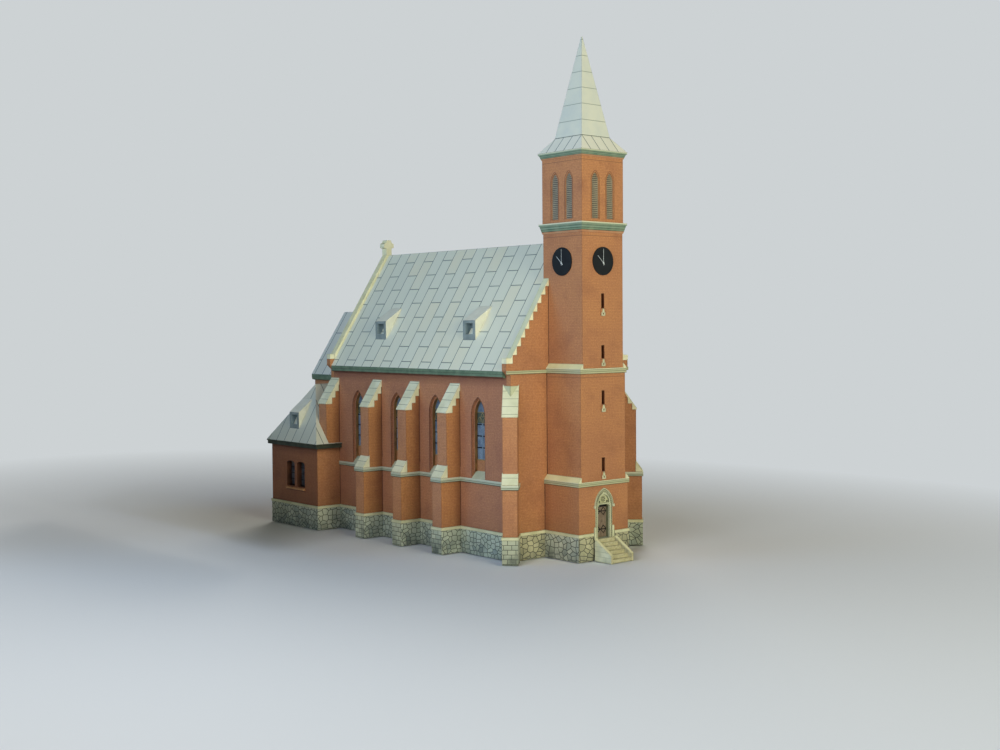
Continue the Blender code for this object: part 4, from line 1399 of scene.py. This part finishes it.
class NaveRoof(Assembly):
    """Sheet metal roof, eaves and shed dormers of the nave."""

    def build(self) -> None:
        """Dress the slopes, eaves and dormers."""
        sheets = RoofSheets("printed_nave_roof_metal", shift_u=23.23, shift_v=1.066).build()
        edge = (self.palette.fascia, lambda centre, normal: normal.z < 0.3)
        under = (self.palette.soffit, lambda centre, normal: normal.z < -0.3)
        for side in Side:
            self.dress(f"nave_roof_{side.tag}", sheets, edge)
            self.dress(f"nave_eaves_{side.tag}", self.palette.fascia, under)


@dataclass
class Dormers(Assembly):
    """Small shed dormers with a square opening in a blue-grey front."""

    nave_front: float = 4.55
    annex_front: float = 7.57

    def build(self) -> None:
        """Dress the dormers of the nave and the annexes."""
        face = PlainCard("printed_dormer_front", "929C95", "7D8882", ink=0.35).build()
        cheek = PlainCard("printed_dormer_cheek", "E4E2CC", "D8D7C0", ink=0.25).build()
        top = PlainCard("printed_dormer_roof", "F4F2DC", "EBE9D2", ink=0.2).build()
        lining = PlainCard("printed_dormer_inside", "8A9C9E", "748688", ink=0.3).build()
        for name in (name for name in self.nodes if "dormer" in name):
            front = self.annex_front if "annex" in name else self.nave_front
            low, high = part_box(name)
            middle = DRAWING.read((Vector(low) + Vector(high)) / 2.0).y

            def inside(centre: Vector, normal: Vector, middle: float = middle, front: float = front) -> bool:
                """Tell the faces inside the opening."""
                near = abs(centre.y - middle) < 0.5 and abs(centre.x) < front - 0.02
                return near and (abs(normal.x) > 0.9 or abs(normal.y) > 0.9 or abs(normal.z) > 0.98)

            out = (face, lambda centre, normal: abs(normal.x) > 0.9)
            beside = (cheek, lambda centre, normal: abs(normal.y) > 0.9)
            self.dress(name, top, (lining, inside), out, beside)


@dataclass
class Tower(Assembly):
    """Brick stages, bands and slit windows of the tower."""

    slits: tuple[float, ...] = (4.32, 9.08, 12.32, 15.87)
    slit_face: float = 2.06

    def sill(self) -> Piece:
        """Model the tapered stone under a slit window, with a notch of painted shade."""
        stone = DressedStone("printed_slit_sill", "CFCCA6", "BDBB96", ink=0.7).build()
        base = block("base", (-0.19, -0.02, -0.56), (0.19, 0.03, -0.30), stone, 0.015)
        neck = block("neck", (-0.12, -0.015, -0.31), (0.12, 0.03, -0.04), stone, 0.006)
        with editing(neck, lambda vert: vert.co.z > -0.15):
            bpy.ops.transform.resize(value=(0.5, 1.0, 1.0), center_override=(0.0, 0.0, 0.0))
        # The notch is a dark block of painted shade.
        notch = block("notch", (-0.05, -0.024, -0.46), (0.05, 0.0, -0.34), self.palette.glue, 0.01)
        return unite("slit_sill", (base, neck, notch))

    def build(self) -> None:
        """Dress the stages and bands, and hang the sills."""
        # Painted shade on the faces inside the slit windows.
        painted_dark_shade = PlainCard("printed_slit_reveal", "7A4629", "5E3521").build()
        slit = (painted_dark_shade, lambda centre, normal: abs(centre.x) < 0.2 and -1.98 < centre.y < -1.0)
        for stage in ("lower", "middle", "clock"):
            self.dress(f"tower_{stage}_stage", self.palette.tower, slit)
        self.dress("belfry", self.palette.tower)
        sill = self.sill()
        for number, low in enumerate(self.slits, start=1):
            hang(sill, f"slit_sill_{number}", Wall.FRONT.at(0.0, self.slit_face, low))
        discard(sill)
        inks = ("4F5138", "BBB98E", "74765A", "B4B48C", "74765A", "E3DFB6")
        stripes = tuple(zip((0.0, 0.09, 0.34, 0.46, 0.74, 0.84), inks))
        slope = DressedStone("printed_band_weathering", "E9E4B0", "DDD8A2").build()
        for name, low, high in (("tower_string_lower", 3.32, 3.65), ("tower_string_upper", 11.25, 11.62)):
            band = Moulding(f"printed_{name}", low, high, stripes).build()
            top = (slope, lambda centre, normal, high=high: centre.z > high and normal.z > 0.2)
            self.dress(name, band, top)
        inks = ("B67A50", "33402F", "6B8368", "49614C", "78907A", "526C56", "85997F", "DCDCBA")
        cornice = tuple(zip((0.0, 0.20, 0.26, 0.38, 0.48, 0.60, 0.72, 0.90), inks))
        for name, low, high in (("belfry_cornice", 21.17, 21.90), ("spire_cornice", 26.45, 26.90)):
            self.dress(name, Moulding(f"printed_{name}", low, high, cornice).build())


@dataclass
class Louvres(Assembly):
    """Louvre boards and brick outlines of the belfry's lancets."""

    offset: float = 0.72
    half: float = 0.33
    low: float = 22.15
    spring: float = 24.78
    apex: float = 25.38
    boards: int = 24
    tilt: float = -62.0
    face: float = 2.036

    def boards_in_lancet(self) -> Piece:
        """Model tilted boards and trim them to the pointed opening."""
        timber = PlainCard("printed_louvre_board", "A59C85", "938A74", 0.55).build()
        pitch = (self.apex - self.low) / self.boards
        near, far = (-self.half - 0.1, 0.02, self.low), (self.half + 0.1, 0.137, self.low + 0.015)
        slat = block("boards", near, far, timber, 0.004)
        with editing(slat):
            bpy.ops.transform.rotate(
                value=math.radians(self.tilt), orient_axis="X", center_override=(0.0, 0.07, self.low + 0.01)
            )
        steps = {"use_constant_offset": True, "constant_offset_displace": (0.0, 0.0, pitch)}
        modify(slat, "ARRAY", count=self.boards, use_relative_offset=False, **steps)
        mask = Arch(self.half - 0.004, self.low, self.spring, self.apex).panel("mask", -0.2, 0.6, timber)
        modify(slat, "BOOLEAN", operation="INTERSECT", object=mask, solver="EXACT")
        discard(mask)
        return slat

    def build(self) -> None:
        """Dress the dark backing and hang boards and outlines in each lancet."""
        self.dress("belfry_louvres", self.palette.dark)
        boards = self.boards_in_lancet()
        outline = PlainCard("printed_lancet_outline", "6B452F", "5B3827", 0.6).build()
        arch = Arch(self.half + 0.07, self.low - 0.03, self.spring, self.apex + 0.11)
        trim = arch.band("trim", 0.03, -0.008, 0.01, outline)
        for wall in Wall:
            for tag, along in (("a", -self.offset), ("b", self.offset)):
                name = f"{wall.name.lower()}_{tag}"
                hang(boards, f"louvre_boards_{name}", wall.at(along, self.face))
                hang(trim, f"lancet_outline_{name}", wall.at(along, self.face))
        discard(boards, trim)


@dataclass
class Spire(Assembly):
    """Needle spire with its flared skirt."""

    fold: float = 27.972

    def build(self) -> None:
        """Dress the needle and the skirt."""
        tones = ("EDECDA", "F0EFDD", "F2F0DB")
        sheets = RoofSheets(
            "printed_spire_skirt_metal", *tones, 0.90, 30.0, 0.45, 11.0, line="7F887C", ink=0.5
        )
        skirt = (sheets.build(), lambda centre, normal: centre.z < self.fold - 0.05)
        self.dress("spire", SpireSheets().build(), skirt)


@dataclass
class Clocks(Assembly):
    """Black dials with white hands at ten o'clock."""

    height: float = 19.05
    reach: float = 2.084

    def hand(self, name: str, length: float, tail: float, width: float, hour: float, y: float) -> Piece:
        """Model one tapered hand that points at an hour.

        Args:
            name: The hand's name.
            length: Its length from the hub to the point.
            tail: Its length behind the hub.
            width: Its width at the hub.
            hour: The hour that it points at.
            y: The depth of its front.

        Returns:
            The hand.
        """
        piece = block(name, (-width / 2.0, y, -tail), (width / 2.0, y + 0.012, length), self.white, 0.003)
        with editing(piece, lambda vert: vert.co.z > length * 0.5):
            bpy.ops.transform.resize(value=(0.6, 1.0, 1.0), center_override=(0.0, y, 0.0))
        piece.rotation_euler.y = math.radians(30.0 * hour)
        return settle(piece)

    def build(self) -> None:
        """Dress the dials and hang the hands."""
        dial = PlainCard("printed_dial_black", "13191B", "0D1113", 0.75).build()
        self.white = PlainCard("painted_white_hands", "D3D9D6", "BFC6C3", 0.6).build()
        minute = self.hand("minute", 0.98, 0.16, 0.032, 0.0, -0.030)
        hour = self.hand("hour", 0.74, 0.18, 0.040, 10.43, -0.016)
        hub = Circle(0.0, 0.0, 0.065, 14).boss("hub", -0.040, 0.040, self.white)
        hands = unite("hands", (minute, hour, hub))
        for wall in (Wall.FRONT, Wall.LEFT, Wall.RIGHT):
            name = wall.name.lower()
            self.dress(f"clock_{name}", dial)
            hang(hands, f"clock_hands_{name}", wall.at(0.0, self.reach, self.height))
        discard(hands)


@dataclass
class Portal(Assembly):
    """Stone portal with its tympanum, the plank door and the steps."""

    face: float = 2.04
    hood_face: float = 2.086
    spring: float = 1.85
    door_out: float = 1.636
    door_half: float = 0.61
    door_low: float = -0.446
    door_head: float = 1.95
    planks: int = 9
    hinge_heights: tuple[float, float] = (0.13, 1.42)

    def mouldings(self, cream: Material, dark: Material) -> Piece:
        """Model the arch's rolls, label stops, corbels and tympanum tracery.

        Args:
            cream: The stone's finish.
            dark: The finish of grooves and piercings.

        Returns:
            The mouldings in one piece.
        """
        low = self.door_low
        pieces = [
            Arch(0.745, low, self.spring, 2.93).band("roll", 0.035, -0.03, 0.04, cream, 0.01),
            Arch(0.60, 1.98, 2.02, 2.76).band("inner_roll", 0.045, -0.03, 0.04, cream, 0.01),
            Arch(0.70, low, self.spring, 2.87).band("groove", 0.036, -0.004, 0.01, dark),
        ]
        trims = (
            ("stop", (0.84, -0.10, 1.72), (1.01, 0.03, 1.93), 0.03),
            ("jamb_roll", (0.575, 0.02, low), (0.614, 0.16, 1.83), 0.01),
            ("corbel", (0.46, -0.01, 1.83), (self.door_half + 0.004, 0.20, 1.96), 0.03),
        )
        for sign in (-1.0, 1.0):
            for name, near, far, bevel in trims:
                low, high = (sign * near[0], *near[1:]), (sign * far[0], *far[1:])
                pieces.append(block(name, low, high, cream, bevel))
            pieces.append(Circle(sign * 0.385, 2.15, 0.075, 12).boss("dot", 0.075, 0.03, dark))
        for turn in range(8):
            angle = math.radians(45.0 * turn)
            for far, wide in ((0.09, 0.030), (0.17, 0.042)):
                x, z = far * math.cos(angle), 2.33 + far * math.sin(angle)
                pieces.append(Circle(x, z, wide, 8).boss("petal", 0.075, 0.03, dark))
        return unite("portal_mouldings", pieces)

    def door(self, timber: Material) -> Piece:
        """Model the planks and their black hinges with diamond loops.

        Args:
            timber: The planks' finish.

        Returns:
            The door's front in one piece.
        """
        iron = self.palette.iron
        half = self.door_half
        pieces = []
        step = 2.0 * half / self.planks
        for index in range(self.planks):
            left = -half + index * step
            low = (left + 0.008, 0.0, self.door_low + 0.01)
            high = (left + step - 0.008, 0.035, self.door_head - 0.01)
            pieces.append(block("plank", low, high, timber, 0.012))
        for height in self.hinge_heights:
            low, high = (-half + 0.03, -0.02, height - 0.035), (half - 0.03, 0.01, height + 0.035)
            pieces.append(block("strap", low, high, iron))
            for centre in (-0.30, 0.30):
                pieces.append(Circle(centre, height, 0.27, 4).bead("diamond", 0.068, -0.015, iron))
        pieces.append(Circle(0.12, 0.72, 0.06, 14).bead("pull", 0.02, -0.03, iron))
        # A black strip of painted shadow under the door's head.
        low = (-half + 0.004, -0.012, self.door_head - 0.24)
        high = (half - 0.004, 0.0, self.door_head + 0.004)
        pieces.append(block("head_shade", low, high, self.palette.dark, 0.004))
        return unite("door_planks", pieces)

    def coping(self, cream: Material) -> Piece:
        """Model the sloped stones that cap both cheeks of the steps.

        Args:
            cream: The stones' finish.

        Returns:
            The pair.
        """
        rise, run = 1.00, 1.63
        pieces = []
        for sign in (-1.0, 1.0):
            high = (sign * 1.115, math.hypot(rise, run), 0.035)
            cap = block("cap", (sign * 0.86, 0.0, -0.04), high, cream, 0.012)
            cap.rotation_euler.x = math.atan2(rise, run)
            cap.location = (0.0, -3.825, -1.395)
            pieces.append(settle(cap))
        return unite("step_copings", pieces)

    def build(self) -> None:
        """Dress the portal and hang its mouldings and the door's planks."""
        cream = DressedStone("printed_portal_stone", "D6D6B0", "C6C8A0", ink=0.75).build()
        # The doorway's reveal in darker olive: painted shade inside the opening.
        olive = PlainCard("printed_portal_reveal", "8A8C69", "74785A", ink=0.3).build()
        shade = PlainCard("printed_portal_shadow", "46472F", "3A3B28").build()
        bright = DressedStone("printed_cheek_coping", "E4E0B4", "D6D2A4").build()
        panel = DressedStone("printed_tympanum", "C9C89E", "B9B98D").build()
        steps = StepStone().build()
        cheek = Ashlar("printed_cheek_blocks", "E2E1C0", "DBDAB8", "BFC19E", "B3B594", 1.1, 0.34).build()
        timber = PlankTimber().build()

        def is_reveal(centre: Vector, normal: Vector) -> bool:
            """Tell the faces inside the doorway."""
            return centre.y > -2.03 and abs(centre.x) < 0.63 and abs(normal.y) < 0.5

        tympanum = (panel, lambda centre, normal: normal.y < -0.9 and -1.97 < centre.y < -1.90)
        self.dress("portal_surround", cream, tympanum, (olive, is_reveal))
        outside = (cheek, lambda centre, normal: abs(normal.x) > 0.9 and abs(centre.x) > 1.08)
        self.dress("portal_steps", steps, outside)
        self.dress("door_leaf", timber)
        threshold = block("threshold", (-0.86, -0.025, -0.74), (0.86, 0.16, -0.44), steps)
        quirk = Arch(0.825, 1.76, self.spring, 3.022).band("hood_quirk", 0.036, -0.004, 0.01, shade)
        for pattern, out, slot in (
            (threshold, 2.23, "stone"),
            (self.mouldings(cream, shade), self.face, "stone"),
            (quirk, self.hood_face, "stone"),
            (self.door(timber), self.door_out, "timber"),
            (self.coping(bright), 0.0, "stone"),
        ):
            hang(pattern, pattern.name, Wall.FRONT.at(0.0, out))
            discard(pattern)


class Chancel(Assembly):
    """Lower chancel behind the rear gable."""

    def build(self) -> None:
        """Dress the chancel."""
        self.dress("chancel_walls", self.palette.brick)
        # A lighter copy of the roof metal: painted light against the shade on the chancel roof.
        tones = ("F0EFDA", "F4F2DC", "F6F3DE")
        sheets = RoofSheets("printed_chancel_roof_metal", *tones, 1.2, 5.6, 0.3).build()
        self.dress("chancel_roof", sheets, (self.palette.fascia, lambda centre, normal: normal.z < 0.3))


@dataclass
class Annexes(Assembly):
    """Low annexes beside the chancel."""

    window_y: tuple[float, float] = (25.72, 27.30)
    half: float = 0.60
    low: float = 1.37
    high: float = 3.46
    sheet: float = 7.396
    wall_face: float = 7.85

    def is_reveal(self, centre: Vector, normal: Vector) -> bool:
        """Tell the faces inside the window openings."""
        inside = self.sheet - 0.02 < abs(centre.x) < self.wall_face - 0.02
        return inside and 25.0 < centre.y < 28.0 and self.low - 0.2 < centre.z < 4.0

    def bars(self) -> Piece:
        """Model the casement's frame and glazing bars."""
        iron = self.palette.iron
        half, low = self.half, self.low
        pieces = [
            block("upright", (-0.03, -0.05, low), (0.03, 0.0, self.high), iron),
            block("sill", (-half, -0.06, low - 0.02), (half, 0.0, low + 0.06), iron),
        ]
        for height in (1.9, 2.4, 2.9):
            pieces.append(block("rail", (-half, -0.05, height - 0.025), (half, 0.0, height + 0.025), iron))
        return unite("bars", pieces)

    def build(self) -> None:
        """Dress the annexes and hang their window bars."""
        tones = ("D6D7C2", "DDDDC7", "E4E1C8")
        sheets = RoofSheets("printed_annex_roof_metal", *tones, 1.2, 30.0, 0.25, 1.0).build()
        glass = LeadedGlass("printed_annex_glass", "6A6C70", "4A4C50", 4.6).build()
        fascia = PlainCard("printed_annex_fascia", "454A38", "33382A", ink=0.3).build()
        # A lighter copy of the brick for the ledge: painted light.
        pale = PlainCard("printed_ledge_brick", "C99263", "BC8557", ink=0.5).build()
        # Painted shade for the window reveals and for the strip under the ledge.
        painted_dark_shade = PlainCard("printed_annex_reveal", "6A4028", "4A2C1C").build()
        bars = self.bars()
        first, last = self.window_y
        reach = (last - first) / 2.0 + self.half + 0.03
        shelf = block("shelf", (-reach, -0.15, 1.10), (reach, 0.02, 1.28), pale, 0.02)
        shadow = block("shadow", (-reach, -0.05, 1.02), (reach, 0.01, 1.10), painted_dark_shade, 0.01)
        ledge = unite("ledge", (shelf, shadow))
        flank = (self.palette.annex_flank, lambda centre, normal: abs(normal.x) > 0.9)
        edge = (fascia, lambda centre, normal: normal.z < 0.3)
        for side in Side:
            self.dress(f"annex_walls_{side.tag}", self.palette.annex, (painted_dark_shade, self.is_reveal), flank)
            self.dress(f"annex_roof_{side.tag}", sheets, edge)
            self.dress(f"annex_windows_{side.tag}", glass)
            for number, centre in enumerate(self.window_y, start=1):
                place = side.wall.at(side.value * centre, self.sheet)
                hang(bars, f"annex_window_bars_{side.tag}_{number}", place)
            place = side.wall.at(side.value * (first + last) / 2.0, self.wall_face)
            hang(ledge, f"annex_ledge_{side.tag}", place)
        discard(bars, ledge)


@dataclass
class Studio:
    """Pale floor, soft lights and the camera."""

    floor_size: float = 12.0
    pale: str = "CDD2D4"
    fade: tuple[float, float] = (0.17, 0.58)
    squeeze: Spot = (1.5, 1.0, 1.0)
    lens: float = 47.62
    sensor: float = 36.0
    clip: tuple[float, float] = (0.01, 200.0)
    yaw: float = 40.2534
    pitch: float = -2.2126
    roll: float = -0.4207
    eye: Spot = (-0.439856, -0.547464, 0.111676)

    def place(self, name: str, data: bpy.types.ID, matrix: Matrix) -> Piece:
        """Put a lamp or camera in the scene.

        Args:
            name: The object's name.
            data: Its light or camera data.
            matrix: Its place and turn.

        Returns:
            The new object.
        """
        piece = bpy.data.objects.new(name, data)
        bpy.context.scene.collection.objects.link(piece)
        piece.matrix_world = matrix
        return piece

    def camera(self) -> None:
        """Place the camera at the photograph's viewing angle."""
        data = bpy.data.cameras.new("camera")
        data.lens = self.lens
        data.sensor_width = self.sensor
        data.clip_start, data.clip_end = self.clip
        place = Matrix.Translation(self.eye)
        for angle, axis in ((-self.yaw, "Z"), (90.0 + self.pitch, "X"), (self.roll, "Z")):
            place = place @ Matrix.Rotation(math.radians(angle), 4, axis)
        bpy.context.scene.camera = self.place("camera", data, place)

    def lamp(self, name: str, spot: Spot, aim: Spot, size: float, power: float, tint: str) -> None:
        """Hang a soft square light that faces a point.

        Args:
            name: The light's name.
            spot: Its place.
            aim: The point that it faces.
            size: The length of its side.
            power: Its power in watts.
            tint: Its hex colour.
        """
        data = bpy.data.lights.new(name, "AREA")
        data.size = size
        data.energy = power
        data.color = linear(tint)[:3]
        turn = (Vector(aim) - Vector(spot)).to_track_quat("-Z", "Y").to_matrix().to_4x4()
        self.place(name, data, Matrix.Translation(spot) @ turn)

    def floor(self) -> None:
        """Lay the pale floor, which fades into an even pale backdrop."""
        take_up()
        bpy.ops.mesh.primitive_plane_add(size=self.floor_size, location=(0.0, 0.0, -0.0004))
        paper = NodeSheet("studio_floor")
        paper.flat("E2E5E6", 0.9)
        spread = {0: paper.add("TexCoord").outputs["Object"], 1: self.squeeze}
        wide = paper.add("VectorMath", spread, operation="MULTIPLY")
        reach = paper.add("VectorMath", {0: wide}, operation="LENGTH")
        fade = paper.add("MapRange", {0: reach, 1: self.fade[0], 2: self.fade[1]})
        glow = paper.add("Emission", {"Color": self.pale})
        blend = paper.add("MixShader", {0: fade, 1: paper.shader, 2: glow})
        named("studio_floor", paper.show(blend))
        bpy.ops.mesh.primitive_uv_sphere_add(segments=48, ring_count=24, radius=self.floor_size / 2.0)
        wall = NodeSheet("studio_backdrop")
        dome = named("studio_backdrop", wall.show(wall.add("Emission", {"Color": self.pale})))
        dome.visible_diffuse = False
        dome.visible_glossy = False
        dome.visible_shadow = False

    def flag(self, name: str, spot: Spot, length: float, height: float) -> None:
        """Stand an unseen black card that keeps the left lights off the rear.

        Args:
            name: The card's name.
            spot: The middle of its foot.
            length: Its length along Y.
            height: Its height.
        """
        take_up()
        middle = (spot[0], spot[1], spot[2] + height / 2.0)
        bpy.ops.mesh.primitive_plane_add(size=1.0, location=middle, rotation=(0.0, math.radians(90.0), 0.0))
        card = named(name, NodeSheet(name).flat("101010"))
        card.scale = (height, length, 1.0)
        settle(card)
        card.visible_camera = False

    def build(self) -> None:
        """Set up floor, backdrop, world, lights and camera."""
        self.floor()
        world = bpy.data.worlds.new("studio")
        world.use_nodes = True
        background = world.node_tree.nodes["Background"]
        background.inputs["Color"].default_value = linear("C9D6DE")
        background.inputs["Strength"].default_value = 0.03
        scene = bpy.context.scene
        scene.world = world
        self.lamp("key", (-0.10, -0.90, 0.30), (0.0, -0.04, 0.11), 0.45, 4.3, "FFFDE4")
        self.lamp("side", (-0.45, -0.25, 0.25), (0.0, -0.06, 0.11), 0.25, 1.12, "E8F0FF")
        self.lamp("sky", (-0.90, 0.45, 0.35), (0.0, 0.0, 0.11), 0.60, 3.6, "84C2FF")
        self.lamp("back", (1.30, 1.15, 0.95), (0.0, 0.0, 0.11), 1.00, 14.0, "FFF8EC")
        self.flag("studio_flag_far", (-0.30, 0.37, 0.035), 0.46, 0.123)
        self.flag("studio_flag_near", (-0.125, 0.115, 0.02), 0.22, 0.06)
        scene.view_settings.view_transform = "Standard"
        scene.view_settings.look = "None"
        self.camera()


def main() -> None:
    """Dress the church and set the studio."""
    logging.basicConfig(level=logging.INFO, format="%(message)s")
    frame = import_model()
    palette = Palette()
    parts = (Plinth, NaveWalls, NaveWindows, Buttresses, NaveRoof, Dormers)
    parts += (Tower, Louvres, Spire, Clocks, Portal, Chancel, Annexes)
    for part in parts:
        part(palette, frame["nodes"]).build()
        LOG.info("%s is done", part.__name__)
    Studio().build()


if __name__ == "__main__":
    main()
